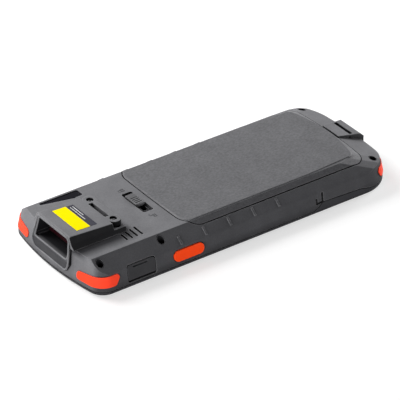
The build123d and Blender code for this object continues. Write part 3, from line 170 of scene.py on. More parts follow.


# ---------------------------------------------------------------- shader building
class Finish:
    """A procedural material, with short calls for what the finishes share."""

    def __init__(self, name, roughness, coat=0.0, metallic=0.0, specular=PLASTIC_SPECULAR):
        self.name = name
        self.material = bpy.data.materials.new(name)
        self.material.use_nodes = True
        self.tree = self.material.node_tree
        self.tree.nodes.clear()
        self.surface = self.node("ShaderNodeBsdfPrincipled")
        output = self.node("ShaderNodeOutputMaterial")
        self.link(self.surface.outputs["BSDF"], output.inputs["Surface"])
        coordinates = self.node("ShaderNodeTexCoord")
        self.place = coordinates.outputs["Object"]
        self.face_turn = coordinates.outputs["Normal"]
        self.colour = self.constant(COLOURS[name])
        self.normal = None
        self.roughness = roughness
        self.surface.inputs["Roughness"].default_value = roughness
        self.surface.inputs["Metallic"].default_value = metallic
        self.surface.inputs["Coat Weight"].default_value = coat
        self.surface.inputs["Coat Roughness"].default_value = COAT_ROUGHNESS
        self.surface.inputs["Specular IOR Level"].default_value = specular

    def node(self, kind, **settings):
        made = self.tree.nodes.new(kind)
        for key, value in settings.items():
            setattr(made, key, value)
        return made

    def link(self, source, target):
        self.tree.links.new(source, target)

    def constant(self, colour):
        made = self.node("ShaderNodeRGB")
        made.outputs[0].default_value = (*colour, 1.0)
        return made.outputs[0]

    # numbers and places
    def math(self, operation, first, second=0.0):
        made = self.node("ShaderNodeMath", operation=operation)
        for socket, value in zip(made.inputs, (first, second)):
            if isinstance(value, (int, float)):
                socket.default_value = value
            else:
                self.link(value, socket)
        return made.outputs[0]

    def ranged(self, value, low, high, to_low=0.0, to_high=1.0):
        """Maps low to to_low and high to to_high, and holds beyond them."""
        made = self.node("ShaderNodeMapRange")
        limits = {"From Min": low, "From Max": high, "To Min": to_low, "To Max": to_high}
        for key, number in limits.items():
            made.inputs[key].default_value = number
        self.link(value, made.inputs["Value"])
        return made.outputs["Result"]

    def parts(self, vector):
        """The X, Y and Z of a vector."""
        made = self.node("ShaderNodeSeparateXYZ")
        self.link(vector, made.inputs[0])
        return made.outputs

    def offset(self, axis, middle):
        """How far a place stands from the middle along an axis."""
        return self.math("ABSOLUTE", self.math("SUBTRACT", self.parts(self.place)[axis], middle))

    # textures
    def stretched(self, scale):
        """Places scaled along each axis. A texture on them is drawn out where the scale is small."""
        mapping = self.node("ShaderNodeMapping")
        mapping.inputs["Scale"].default_value = scale
        self.link(self.place, mapping.inputs["Vector"])
        return mapping.outputs["Vector"]

    def noise(self, size, detail=2.0, place=None):
        """Soft noise with features about size metres across."""
        made = self.node("ShaderNodeTexNoise")
        made.inputs["Scale"].default_value = 1.0 / size
        made.inputs["Detail"].default_value = detail
        self.link(place or self.place, made.inputs["Vector"])
        return made.outputs["Fac"]

    def cells(self, size, place=None):
        """Distance from the middles of cells about size metres across."""
        made = self.node("ShaderNodeTexVoronoi")
        made.inputs["Scale"].default_value = 1.0 / size
        self.link(place or self.place, made.inputs["Vector"])
        return made.outputs["Distance"]

    # masks, 1 where they hold and 0 elsewhere
    def facing(self, axis, start, full, either_way=False):
        """Rises as the share of a face's normal along an axis goes from start to full."""
        share = self.parts(self.face_turn)[axis]
        if either_way:
            share = self.math("ABSOLUTE", share)
        return self.ranged(share, start, full)

    def between(self, axis, low, high):
        """Places between two values along an axis."""
        return self.math("LESS_THAN", self.offset(axis, (low + high) / 2), (high - low) / 2)

    def within(self, low, high, fade):
        """The inside of a box given in the part's frame, fading over its edge."""
        total = None
        for axis in range(3):
            half = (high[axis] - low[axis]) / 2
            offset = self.offset(axis, (low[axis] + high[axis]) / 2)
            inside = self.ranged(offset, half, half - min(FADE_LIMIT * half, fade))
            total = inside if total is None else self.math("MULTIPLY", total, inside)
        return total

    def around(self, x, y, radius, top):
        """The inside of an upright round hole."""
        reach = [self.math("POWER", self.offset(axis, centre), 2.0) for axis, centre in enumerate((x, y))]
        inside = self.math("LESS_THAN", self.math("ADD", *reach), radius * radius)
        return self.math("MULTIPLY", inside, self.math("LESS_THAN", self.parts(self.place)["Z"], top))

    def rounding(self, radius):
        """Rounds edges in the shading. Gives the cosine of how far that turns the normal."""
        bevel = self.node("ShaderNodeBevel", samples=SHADER_SAMPLES)
        bevel.inputs["Radius"].default_value = radius
        geometry = self.node("ShaderNodeNewGeometry")
        agree = self.node("ShaderNodeVectorMath", operation="DOT_PRODUCT")
        self.link(bevel.outputs["Normal"], agree.inputs[0])
        self.link(geometry.outputs["Normal"], agree.inputs[1])
        self.normal = bevel.outputs["Normal"]
        return agree.outputs["Value"]

    def edges(self, radius):
        """Edges, which take scuffs and a painted highlight."""
        return self.ranged(self.rounding(radius), *EDGE_TURN)

    def bends(self, radius):
        """Slight bends, without the sharp edges, which take a painted highlight."""
        cosine = self.rounding(radius)
        return self.math("MULTIPLY", self.ranged(cosine, *BEND_TURN), self.ranged(cosine, *SHARP_TURN))

    # what changes the surface
    def tint(self, mask, colour, share=1.0):
        """Blends a named colour over what is there, where mask is 1."""
        made = self.node("ShaderNodeMix", data_type="RGBA")
        self.link(self.math("MULTIPLY", mask, share), made.inputs["Factor"])
        self.link(self.colour, made.inputs["A"])
        made.inputs["B"].default_value = (*COLOURS[colour], 1.0)
        self.colour = made.outputs["Result"]

    def shade(self, value):
        """Multiplies the colour by a number that varies over the surface."""
        made = self.node("ShaderNodeVectorMath", operation="SCALE")
        self.link(self.colour, made.inputs[0])
        self.link(value, made.inputs["Scale"])
        self.colour = made.outputs["Vector"]

    def mottle(self, size, depth, detail=3.0, place=None):
        """Lightens and darkens the colour in spots about size metres across."""
        spots = self.noise(size, detail, place)
        self.shade(self.ranged(spots, *NOISE_SPAN, 1.0 - depth, 1.0 + depth))

    def darker_below(self, low, high, dark):
        """Painted shade towards the floor: darkens the colour downwards, from the height high to the height
        low.
        """
        self.shade(self.ranged(self.parts(self.place)["Z"], low, high, dark))

    def crevices(self, distance, dark):
        """Painted shade in seams and inner corners: darkens the colour by their ambient occlusion."""
        shelter = self.node("ShaderNodeAmbientOcclusion", samples=SHADER_SAMPLES)
        shelter.inputs["Distance"].default_value = distance
        if self.normal is not None:
            self.link(self.normal, shelter.inputs["Normal"])
        self.shade(self.ranged(shelter.outputs["AO"], *SHELTER_SPAN, dark))

    def bump(self, height, depth):
        """Raises the surface by height, from 0 to 1, times depth metres."""
        made = self.node("ShaderNodeBump")
        made.inputs["Distance"].default_value = depth
        made.inputs["Strength"].default_value = 1.0
        self.link(height, made.inputs["Height"])
        if self.normal is not None:
            self.link(self.normal, made.inputs["Normal"])
        self.normal = made.outputs["Normal"]

    def vary_roughness(self, size, spread):
        value = self.ranged(self.noise(size), *NOISE_SPAN, self.roughness - spread, self.roughness + spread)
        self.link(value, self.surface.inputs["Roughness"])

    def done(self):
        self.link(self.colour, self.surface.inputs["Base Color"])
        if self.normal is not None:
            self.link(self.normal, self.surface.inputs["Normal"])
        return self.material


# ---------------------------------------------------------------- finishes
def moulded(name, roughness=0.55, scuff_highlight_share=0.45, scuff_highlight_colour="plastic_scuff_highlight", side=None, dark=(), holes=(),
            low_shade=1.0):
    """Spark-textured housing plastic: fine grain, faint clouds, edges with scuffs and a painted highlight,
    and painted shade in seams.

    The walls of the long sides can take the side colour, painted shade for their facing away from the
    light.
    The insides of the dark boxes and of the round holes take painted shade, up to black. Towards the foot
    of the part's walls the colour falls to the share low_shade, painted shade near the floor.
    """
    finish = Finish(name, roughness)
    # painted shade on faces turned sideways
    if side:
        finish.tint(finish.facing("Y", *WALL_TURN, either_way=True), side)
    # painted shade in the dark boxes and in the holes
    for low, high, fade, share in dark:
        finish.tint(finish.within(low, high, fade), "hollow_painted_shade", share)
    for hole in holes:
        finish.tint(finish.around(*hole), "hollow_painted_shade")
    finish.darker_below(*WALL_SHADE_HEIGHTS, low_shade)
    finish.mottle(size=9 * MM, depth=0.09)
    finish.mottle(size=0.6 * MM, depth=0.072, detail=1.0)
    # scuffs and a painted highlight on the edges, in patches
    patchy = finish.ranged(finish.noise(size=3 * MM), low=0.35, high=0.65, to_low=0.4)
    scuff_and_highlight = finish.math("MULTIPLY", finish.edges(radius=0.5 * MM), patchy)
    finish.tint(scuff_and_highlight, scuff_highlight_colour, scuff_highlight_share)
    finish.crevices(distance=2.6 * MM, dark=0.10)
    finish.bump(finish.noise(size=0.28 * MM), depth=0.016 * MM)
    finish.vary_roughness(size=4 * MM, spread=0.06)
    return finish


def panel_plastic(name):
    """The cover's panel: the housing's plastic with a finer ribbed grain along the body, with painted
    shade, light and highlights.
    """
    finish = Finish(name, roughness=0.56)
    # painted shade on the near and far slopes
    finish.tint(finish.facing("Y", *COVER_SIDE_TURN, either_way=True), "cover_side_painted_shade")
    # painted light on the slope to the foot
    finish.tint(finish.facing("X", *COVER_FOOT_TURN), "cover_foot_painted_light")
    finish.mottle(size=11 * MM, depth=0.06)
    ribbed = finish.stretched((0.7, 1.0, 1.0))
    finish.mottle(size=0.7 * MM, depth=0.14, detail=1.0, place=ribbed)
    # painted highlight along the bends
    finish.tint(finish.bends(radius=0.6 * MM), "cover_bend_painted_highlight", share=0.5)
    # painted shade on the upright faces, the cover's edges down in its seam
    finish.tint(finish.facing("Z", *UPRIGHT_TURN, either_way=True), "hollow_painted_shade")
    finish.crevices(distance=1.2 * MM, dark=0.03)
    finish.bump(finish.noise(size=0.4 * MM, detail=1.5, place=ribbed), depth=0.04 * MM)
    finish.vary_roughness(size=4 * MM, spread=0.05)
    return finish


def rubber(name, roughness=0.5, coat=0.1, mottle=0.05, scuff_highlight_colour=None):
    """Smooth rubber, silicone or print with a soft grain and painted shade in seams; with an edge colour,
    its edges take scuffs and a painted highlight.
    """
    finish = Finish(name, roughness, coat)
    finish.mottle(size=5 * MM, depth=mottle)
    scuff_and_highlight = finish.edges(radius=0.4 * MM)
    if scuff_highlight_colour:
        finish.tint(scuff_and_highlight, scuff_highlight_colour, share=0.35)
    finish.crevices(distance=0.8 * MM, dark=0.6)
    finish.bump(finish.noise(size=0.35 * MM), depth=0.012 * MM)
    finish.vary_roughness(size=3 * MM, spread=0.08)
    return finish


def glossy(name, roughness, clouds=0.1, specular=GLASS_SPECULAR):
    """Polished glass or film over a dark layer, with faint smears in its gloss."""
    finish = Finish(name, roughness, specular=specular)
    finish.mottle(size=14 * MM, depth=clouds)
    smear = finish.noise(size=20 * MM, detail=3.0, place=finish.stretched((1.0, 0.35, 1.0)))
    smeared = finish.ranged(smear, low=0.35, high=0.7, to_low=roughness, to_high=roughness + 0.09)
    finish.link(smeared, finish.surface.inputs["Roughness"])
    return finish


def screen_glass(name, node, border):
    """Touch glass: black print all round the switched-off display behind it."""
    low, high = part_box(node)
    finish = glossy(name, roughness=0.05)
    sides = [finish.between(axis, low[axis] + border, high[axis] - border) for axis in range(2)]
    finish.tint(finish.math("MULTIPLY", *sides), "display_off")
    return finish


def metal(name, roughness=0.32, brushed=0.5):
    """Bare or plated metal with fine streaks along the body."""
    finish = Finish(name, roughness, metallic=1.0)
    streaks = finish.stretched((0.08, 1.0, 1.0))
    finish.mottle(size=0.3 * MM, depth=0.12 * brushed, detail=2.0, place=streaks)
    finish.bump(finish.noise(size=0.2 * MM, place=streaks), depth=0.004 * MM)
    finish.vary_roughness(size=1.5 * MM, spread=0.1)
    return finish


def circuit_board(name):
    """Lacquered board with paler tracks."""
    finish = Finish(name, roughness=0.35, coat=0.3)
    tracks = finish.cells(size=1.1 * MM, place=finish.stretched((1.0, 0.3, 1.0)))
    finish.tint(finish.ranged(tracks, low=0.42, high=0.5), "tracks", share=0.8)
    finish.mottle(size=4 * MM, depth=0.08)
    finish.bump(tracks, depth=0.02 * MM)
    return finish


def battery_wrap(name, node, band_half):
    """Shrink-wrapped pack with a plain pale band where a label would be."""
    finish = Finish(name, roughness=0.35, coat=0.25)
    low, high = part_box(node)
    middle = (low.x + high.x) / 2
    finish.tint(finish.between("X", middle - band_half, middle + band_half), "battery_band", share=0.85)
    finish.mottle(size=6 * MM, depth=0.05)
    finish.bump(finish.noise(size=2.5 * MM), depth=0.05 * MM)
    return finish


def woven_mesh(name):
    """The fine black cloth over the speaker."""
    finish = Finish(name, roughness=0.8)
    holes = finish.cells(size=0.4 * MM)
    finish.shade(finish.ranged(holes, low=0.1, high=0.6, to_low=0.3, to_high=1.6))
    finish.bump(holes, depth=0.06 * MM)
    return finish


# ---------------------------------------------------------------- painted shade of the finishes
# Each dark box is painted shade, given as its low corner, its high corner, how far its edge fades, and how
# dark it is.
MOUTH_LIP = 1.2 * MM             # keeps the plastic's colour
MOUTH_SIDE = 0.5 * MM            # beyond the scan window on each side
MOUTH_BELOW = 3 * MM             # beyond it downwards, upwards and inwards
MOUTH_ABOVE = 1.4 * MM
MOUTH_BEHIND = 4 * MM
MOUTH_FADE = 1.6 * MM


def mouth_inside():
    """Painted shade on the inner faces of the scanner mouth, from behind its lip to past the scan window.
    """
    low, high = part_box("scan_window")
    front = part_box("scanner_cap")[0].x
    return ((front + MOUTH_LIP, low.y - MOUTH_SIDE, low.z - MOUTH_BELOW),
            (high.x + MOUTH_BEHIND, high.y + MOUTH_SIDE, high.z + MOUTH_ABOVE), MOUTH_FADE, 1.0)


LATCH_MARGIN = 2 * MM
LATCH_HOLLOW_HALF = 12 * MM      # covers the latch's whole slide
LATCH_HOLLOW_TOP = 0.15 * MM     # below the flat back
LATCH_HOLLOW_FADE = 0.2 * MM


def latch_hollow():
    """Painted shade in the recess around the battery latch."""
    low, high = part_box("battery_latch")
    return ((low.x - LATCH_MARGIN, -LATCH_HOLLOW_HALF, low.z - LATCH_MARGIN),
            (high.x + LATCH_MARGIN, LATCH_HOLLOW_HALF, BACK_HEIGHT - LATCH_HOLLOW_TOP),
            LATCH_HOLLOW_FADE, 1.0)


HUMP_SHADE_X = (-4 * MM, 3 * MM)             # beyond the cap's ends
HUMP_SHADE_Y = (-8 * MM, 9 * MM)             # from the cap's near side
HUMP_SHADE_Z = (13 * MM, 19 * MM)
HUMP_SHADE_FADE = 5.5 * MM
HUMP_SHADE = 0.92


def beside_cap():
    """Painted shadow on the back beside the hump of the cap, which the hump's near side keeps in the dark.
    """
    low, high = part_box("scanner_cap")
    return ((low.x + HUMP_SHADE_X[0], low.y + HUMP_SHADE_Y[0], HUMP_SHADE_Z[0]),
            (high.x + HUMP_SHADE_X[1], low.y + HUMP_SHADE_Y[1], HUMP_SHADE_Z[1]),
            HUMP_SHADE_FADE, HUMP_SHADE)


CHIN_X = (-3 * MM, 5 * MM)                   # from the cap's front
CHIN_HALF = 17 * MM
CHIN_Z = (1 * MM, 12 * MM)
CHIN_FADE = 3 * MM
CHIN_SHADE = 0.78


def below_mouth():
    """Painted shade on the cap's front under the opening, which is turned down."""
    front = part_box("scanner_cap")[0].x
    return ((front + CHIN_X[0], -CHIN_HALF, CHIN_Z[0]),
            (front + CHIN_X[1], CHIN_HALF, CHIN_Z[1]), CHIN_FADE, CHIN_SHADE)


LUG_SLOT_LOW = (77.5 * MM, -7 * MM, 8 * MM)
LUG_SLOT_HIGH = (80.8 * MM, 7 * MM, 13.6 * MM)
LUG_SLOT_FADE = 0.1 * MM


def lug_slot():
    """Painted shade on the strap slot's walls in the lug at the foot."""
    return LUG_SLOT_LOW, LUG_SLOT_HIGH, LUG_SLOT_FADE, 1.0


SCREW_HOLE_MARGIN = 0.5 * MM     # around the head
SCREW_HOLE_RISE = 6 * MM         # how far above its head a hole takes painted shade


def screw_holes():
    """Painted shade in the deep holes of the housing screws: axis, radius and the height they are black
    below.
    """
    return [((low.x + high.x) / 2, (low.y + high.y) / 2, (high.x - low.x) / 2 + SCREW_HOLE_MARGIN,
             high.z + SCREW_HOLE_RISE) for low, high in loose_parts("housing_screws")]


def loose_parts(node):
    """Lowest and highest corner of each solid in a CAD node."""
    form = bmesh.new()
    form.from_mesh(nodes[node].data)
    waiting = set(form.verts)
    parts = []
    while waiting:
        front = [waiting.pop()]
        found = []
        while front:
            vertex = front.pop()
            found.append(vertex.co.copy())
            for edge in vertex.link_edges:
                other = edge.other_vert(vertex)
                if other in waiting:
                    waiting.remove(other)
                    front.append(other)
        parts.append(tuple(Vector(pick(co[axis] for co in found) for axis in range(3))
                           for pick in (min, max)))
    form.free()
    return sorted(parts, key=lambda corners: tuple(corners[0]))


# ---------------------------------------------------------------- materials of the nodes
DISPLAY_BORDER = 1.6 * MM        # how far the black print reaches over the display module
BATTERY_BAND_HALF = 18 * MM


def make_materials():
    """Every finish of the part, by its name. Most are named like their slot in the record."""
    finishes = [
        moulded("housing", side="painted_wall_shade", dark=[mouth_inside(), latch_hollow(), beside_cap(), lug_slot()],
                holes=screw_holes(), low_shade=HOUSING_SHADE),
        moulded("cap", roughness=0.5, side="cap_side_painted_shade", dark=[mouth_inside(), below_mouth()]),
        moulded("rim", roughness=0.5),
        moulded("latch", roughness=0.42, scuff_highlight_share=0.6),
        moulded("frame", roughness=0.5, scuff_highlight_colour="frame_scuff_highlight"),
        moulded("inner_plastic", roughness=0.45),
        panel_plastic("cover"),
        rubber("flap", roughness=0.6, coat=0.0, scuff_highlight_colour="flap_scuff_highlight"),
        rubber("gasket", roughness=0.7, coat=0.0),
        rubber("bumper", roughness=0.42, coat=0.0, mottle=0.04, scuff_highlight_colour="bumper_scuff_highlight"),
        rubber("orange_key", roughness=0.38, coat=0.05, mottle=0.03, scuff_highlight_colour="orange_key_worn"),
        rubber("side_key", roughness=0.45),
        rubber("key"),
        rubber("battery_contacts"),
        rubber("pale_print", coat=0.0, mottle=0.03),
        rubber("dark_print", roughness=0.6, coat=0.0),
        rubber("strip_print", coat=0.0),
        glossy("sticker", roughness=0.4, clouds=0.03, specular=0.02),
        glossy("scan_window", roughness=0.05),
        glossy("camera_window", roughness=0.15, specular=0.04),
        glossy("flash_led", roughness=0.2),
        glossy("display", roughness=0.1),
        screen_glass("touch_glass", "display_module", DISPLAY_BORDER),
        battery_wrap("battery", "battery_pack", BATTERY_BAND_HALF),
        circuit_board("board"),
        woven_mesh("speaker_cloth"),
        metal("steel"),
        metal("screw", roughness=0.38),
        metal("black_screw", roughness=0.4),
        metal("gold", roughness=0.25, brushed=0.2),
        metal("antenna", roughness=0.35, brushed=0.3),
    ]
    return {finish.name: finish.done() for finish in finishes}


MATERIALS = make_materials()
OWN_FINISH = {"battery_cover": "cover", "speaker": "speaker_cloth"}


def dress_nodes():
    """Gives each CAD node the finish of its record slot, or its own."""
    for name, node in nodes.items():
        for slot in node.material_slots:
            packed = slot.material.name.split(".")[0] if slot.material else "housing"
            slot.material = MATERIALS[OWN_FINISH.get(name, packed)]


# ---------------------------------------------------------------- meshes and pieces
MARK_HEIGHT = 0.06 * MM          # how far printed and moulded marks stand proud
MARK_SUNK = 0.01 * MM            # how far moulded marks start below the face
ARC_STEPS = 10


def add_object(name, data):
    """Links new data to the scene as an object."""
    made = bpy.data.objects.new(name, data)
    bpy.context.scene.collection.objects.link(made)
    return made


def piece(name, mesh, finish, body):
    """Links a mesh as a piece of the object, in the row frame."""
    made = add_object(name, mesh)
    mesh.materials.clear()
    mesh.materials.append(MATERIALS[finish])
    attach(made, body)
    return made


def as_mesh(form, name):
    """Mesh data from a bmesh, which it frees."""
    mesh = bpy.data.meshes.new(name)
    form.to_mesh(mesh)
    form.free()
    return mesh


def shown_mesh(shown):
    """The mesh that an object's curve, text or modifiers come out as. The object itself goes."""
    bpy.context.view_layer.update()
    graph = bpy.context.evaluated_depsgraph_get()
    mesh = bpy.data.meshes.new_from_object(shown.evaluated_get(graph))
    bpy.data.objects.remove(shown)
    return mesh


def plate(name, outlines, thickness, place):
    """A mesh of flat outlines, raised by thickness and set by place.

    Each outline is a list of (x, y), anticlockwise. Its faces are made one by one, because an
    extrusion orders them differently from run to run.
    """
    form = bmesh.new()
    for outline in outlines:
        foot, top = ([form.verts.new((x, y, z)) for x, y in outline] for z in (0.0, thickness))
        form.faces.new(foot[::-1])
        form.faces.new(top)
        for here in range(len(outline)):
            form.faces.new((foot[here - 1], foot[here], top[here], top[here - 1]))
    mesh = as_mesh(form, name)
    mesh.transform(place)
    return mesh


def arc_band(radius, width, start, end):
    """The outline of a band along an arc, angles in degrees."""
    angles = [math.radians(start + (end - start) * step / ARC_STEPS) for step in range(ARC_STEPS + 1)]
    outer, inner = ([(reach * math.cos(angle), reach * math.sin(angle)) for angle in angles]
                    for reach in (radius + width / 2, radius - width / 2))
    return outer + inner[::-1]


def shifted(outline, x, y):
    return [(px + x, py + y) for px, py in outline]


def block(x, y, length, width):
    """The outline of a rectangle around a middle."""
    return [(x - length / 2, y - width / 2), (x + length / 2, y - width / 2),
            (x + length / 2, y + width / 2), (x - length / 2, y + width / 2)]


# ---------------------------------------------------------------- padlock marks beside the latch
PADLOCK_BODY = (2.2 * MM, 1.6 * MM)
PADLOCK_LINE = 0.34 * MM
SHACKLE_RADIUS = 0.66 * MM
SHACKLE_LEG = 0.7 * MM
KEYHOLE = (0.3 * MM, 0.6 * MM)
PADLOCK_X = -37.3 * MM
PADLOCK_Y = {"padlock_closed": 12.6 * MM, "padlock_open": -13.0 * MM}
PADLOCK_TURN = math.radians(90)


def padlock(name, open_shift):
    """A moulded padlock mark. When it stands for open, its shackle is moved sideways."""
    length, height = PADLOCK_BODY
    line = PADLOCK_LINE
    top = height / 2
    sides = [block(0, side * (height - line) / 2, length, line) for side in (-1, 1)]
    ends = [block(side * (length - line) / 2, 0, line, height - 2 * line) for side in (-1, 1)]
    shackle = shifted(arc_band(SHACKLE_RADIUS, line, 0, 180), open_shift, top + SHACKLE_LEG)
    legs_at = (-1,) if open_shift else (-1, 1)       # an open shackle has one leg in the body
    legs = [block(open_shift + side * SHACKLE_RADIUS, top + SHACKLE_LEG / 2, line, SHACKLE_LEG)
            for side in legs_at]
    keyhole = block(0, 0, *KEYHOLE)
    place = Matrix.Translation((PADLOCK_X, PADLOCK_Y[name], BACK_HEIGHT - MARK_SUNK))
    turn = Matrix.Rotation(PADLOCK_TURN, 4, "Z")
    mesh = plate(name, [*sides, *ends, shackle, *legs, keyhole], MARK_HEIGHT, place @ turn)
    piece(name, mesh, "dark_print", "housing")


# ---------------------------------------------------------------- marks on the front keys
# Turns a mark made in the XY plane to face down and to be read with the scanner end upwards.
FRONT_FACING = Matrix(((0, -1, 0, 0), (-1, 0, 0, 0), (0, 0, -1, 0), (0, 0, 0, 1)))
DIGIT_SIZE = 4.6 * MM
DIGIT_RESOLUTION = 4
KEY_SIGNS = {"key_star": "*", "key_hash": "#", "key_back": "<", "key_enter": "OK"}
SCAN_BAR_LENGTH = 3.4 * MM
# Place and width of each bar on the scan key, in mm.
SCAN_BARS = ((-3, 0.5), (-2, 0.9), (-0.8, 0.4), (0.2, 1.0), (1.5, 0.4), (2.4, 0.7), (3.3, 0.4))


def text_mesh(name, text, size):
    """Letters as a flat mesh centred on the origin, facing +Z."""
    curve = bpy.data.curves.new(name, "FONT")
    curve.body = text
    curve.size = size
    curve.align_x = "CENTER"
    curve.align_y = "CENTER"
    curve.extrude = MARK_HEIGHT / 2
    curve.resolution_u = DIGIT_RESOLUTION
    mesh = shown_mesh(add_object(name, curve))
    mesh.name = name
    return mesh


def key_face(node):
    """The place of a mark on the middle of a front key, turned to be read from the front."""
    low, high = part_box(node)
    middle = (low + high) / 2
    return Matrix.Translation((middle.x, middle.y, low.z)) @ FRONT_FACING


def key_body(node):
    return nodes[node]["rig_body"]


def key_marks():
    """Pale digits and plain signs on the front keys, and bars on the scan key."""
    marks = dict(KEY_SIGNS)
    marks.update({f"key_{digit}": str(digit) for digit in range(10)})
    for node, text in marks.items():
        mesh = text_mesh("mark_" + node, text, DIGIT_SIZE)
        mesh.transform(key_face(node))
        piece("mark_" + node, mesh, "pale_print", key_body(node))
    bars = [block(x * MM, 0, width * MM, SCAN_BAR_LENGTH) for x, width in SCAN_BARS]
    mesh = plate("mark_key_scan", bars, MARK_HEIGHT, key_face("key_scan"))
    piece("mark_key_scan", mesh, "pale_print", key_body("key_scan"))


# ---------------------------------------------------------------- screws with a cross recess
CAP_SCREW_HEAD = 0.9 * MM        # height
HOUSING_SCREW_HEAD = 1.4 * MM
SCREW_SHANK = 0.9 * MM           # radius
SCREW_TIP = 0.6                  # the tip's flat, of the shank's radius
SCREW_EDGE = 0.14                # chamfer of the head, of its radius
SCREW_STEPS = 32
SCREW_MERGE = 0.005 * MM
RECESS_REACH = 0.72              # of the head's radius
RECESS_ARM = 0.36                # width of an arm, of the recess's reach
RECESS_FLOOR = 0.35              # height of the recess's floor, of the head's height
RECESS_CUT = 1.5                 # height of the cutter, of the head's height
SCREW_TURN = (700.0, 300.0)      # radians per metre of x and y, so no two screws stand alike


def boolean_cut(target, cutter):
    """target's mesh less cutter's mesh, both as mesh data."""
    body = add_object("cut_body", target)
    tool = add_object("cut_tool", cutter)
    modifier = body.modifiers.new("cut", "BOOLEAN")
    modifier.operation = "DIFFERENCE"
    modifier.solver = "EXACT"
    modifier.object = tool
    mesh = shown_mesh(body)
    bpy.data.objects.remove(tool)
    return mesh


def cross_outline(reach, width):
    """The outline of a cross with four arms."""
    half = width / 2
    corners = [(reach, -half), (reach, half), (half, half)]
    outline = []
    for _ in range(4):
        outline += corners
        corners = [(-y, x) for x, y in corners]
    return outline


def screw_mesh(head_radius, head_height, length):
    """A pan-head screw standing with its seat at z 0 and a cross recess in its head."""
    edge = head_radius * SCREW_EDGE
    profile = [(0.0, -length), (SCREW_SHANK * SCREW_TIP, -length), (SCREW_SHANK, SCREW_SHANK - length),
               (SCREW_SHANK, 0.0), (head_radius, 0.0), (head_radius, head_height - edge),
               (head_radius - edge, head_height), (0.0, head_height)]
    form = bmesh.new()
    ring = [form.verts.new((r, 0.0, z)) for r, z in profile]
    lines = [form.edges.new(pair) for pair in zip(ring, ring[1:])]
    bmesh.ops.spin(form, geom=ring + lines, axis=(0, 0, 1), cent=(0, 0, 0), angle=math.tau,
                   steps=SCREW_STEPS)
    bmesh.ops.remove_doubles(form, verts=list(form.verts), dist=SCREW_MERGE)
    bmesh.ops.recalc_face_normals(form, faces=list(form.faces))
    solid = as_mesh(form, "screw")
    reach = head_radius * RECESS_REACH
    cutter = plate("recess", [cross_outline(reach, reach * RECESS_ARM)], head_height * RECESS_CUT,
                   Matrix.Translation((0, 0, head_height * RECESS_FLOOR)))
    return boolean_cut(solid, cutter)


def screws(node, head_height, finish):
    """Screws with a cross recess in place of a CAD node's plain ones."""
    form = bmesh.new()
    for low, high in loose_parts(node):
        mesh = screw_mesh((high.x - low.x) / 2, head_height, high.z - head_height - low.z)
        turn = Matrix.Rotation(low.x * SCREW_TURN[0] + low.y * SCREW_TURN[1], 4, "Z")
        seat = Matrix.Translation(((low.x + high.x) / 2, (low.y + high.y) / 2, high.z - head_height))
        mesh.transform(seat @ turn)
        form.from_mesh(mesh)
    made = piece(node + "_cut", as_mesh(form, node + "_cut"), finish, "housing")
    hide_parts(node)


# ---------------------------------------------------------------- label strip on the cap
STICKER_THICKNESS = 0.15 * MM
STRIP_WIDTH = 3.4 * MM
STRIP_GAP = 0.5 * MM
STRIP_THICKNESS = 0.05 * MM
BAR_WIDTH = 0.42 * MM
BAR_LENGTHS = (12.0 * MM, 8.5 * MM)
BAR_PITCH = 1.3 * MM
BAR_MARGIN = 1.5 * MM            # from the strip's end
UPWARD = 0.9                     # least rise of an upward face's normal


def top_face(node):
    """Middle of a CAD node's largest upward face, and the turn that lays a mesh on it."""
    mesh = nodes[node].data
    face = max((face for face in mesh.polygons if face.normal.z > UPWARD), key=lambda face: face.area)
    slope = face.normal
    low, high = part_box(node)
    middle = (low + high) / 2
    near = mesh.vertices[face.vertices[0]].co
    middle.z = near.z - (slope.x * (middle.x - near.x) + slope.y * (middle.y - near.y)) / slope.z
    along = Vector((0.0, 1.0, 0.0)).cross(slope).normalized()
    turn = Matrix((along, slope.cross(along), slope)).transposed().to_4x4()
    return middle, turn


def label_strip():
    """A dark strip with two plain pale bars, on the roof behind the yellow sticker."""
    low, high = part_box("roof_sticker")
    middle, turn = top_face("roof_sticker")
    across = high.y - low.y
    x = (high.x - low.x) / 2 + STRIP_GAP + STRIP_WIDTH / 2
    base = Matrix.Translation(middle) @ turn @ Matrix.Translation((0, 0, -STICKER_THICKNESS))
    strip = plate("label_strip", [block(x, 0, STRIP_WIDTH, across)], STRIP_THICKNESS, base)
    piece("label_strip", strip, "strip_print", "housing")
    bars = []
    for number, length in enumerate(BAR_LENGTHS):
        bar_x = x - BAR_PITCH / 2 + number * BAR_PITCH
        bars.append(block(bar_x, across / 2 - BAR_MARGIN - length / 2, BAR_WIDTH, length))
    mesh = plate("label_bars", bars, STRIP_THICKNESS * 2, base)
    piece("label_bars", mesh, "pale_print", "housing")


# ---------------------------------------------------------------- rim of the scanner mouth
# Half outlines as side and height, from the bottom up: of the frame, and of its opening.
RIM_OUTER = ((12.4 * MM, 4.65 * MM), (14.5 * MM, 8.5 * MM), (12.35 * MM, 20.6 * MM))
RIM_INNER = ((12.3 * MM, 9.95 * MM), (12.95 * MM, 11.35 * MM), (11.75 * MM, 19.9 * MM))
BEADS = (("outer", RIM_OUTER, 0.42 * MM, 0.36 * MM),         # name, outline, radius, how far proud
         ("inner", RIM_INNER, 0.40 * MM, 0.12 * MM))
RIM_CORNER = 1.9 * MM
RIM_CORNER_SHARE = 0.45          # of a side that a rounded corner can take
RIM_STEPS = 6
BEAD_RESOLUTION = 4
BEAD_MERGE = 0.002 * MM
# Heights of the cap's front, and how far it stands back there from its foremost line.
FRONT_LINE = ((4.0 * MM, 0.0), (8.4 * MM, 0.0), (10.2 * MM, 0.32 * MM), (16.0 * MM, 2.0 * MM),
              (21.5 * MM, 2.0 * MM))


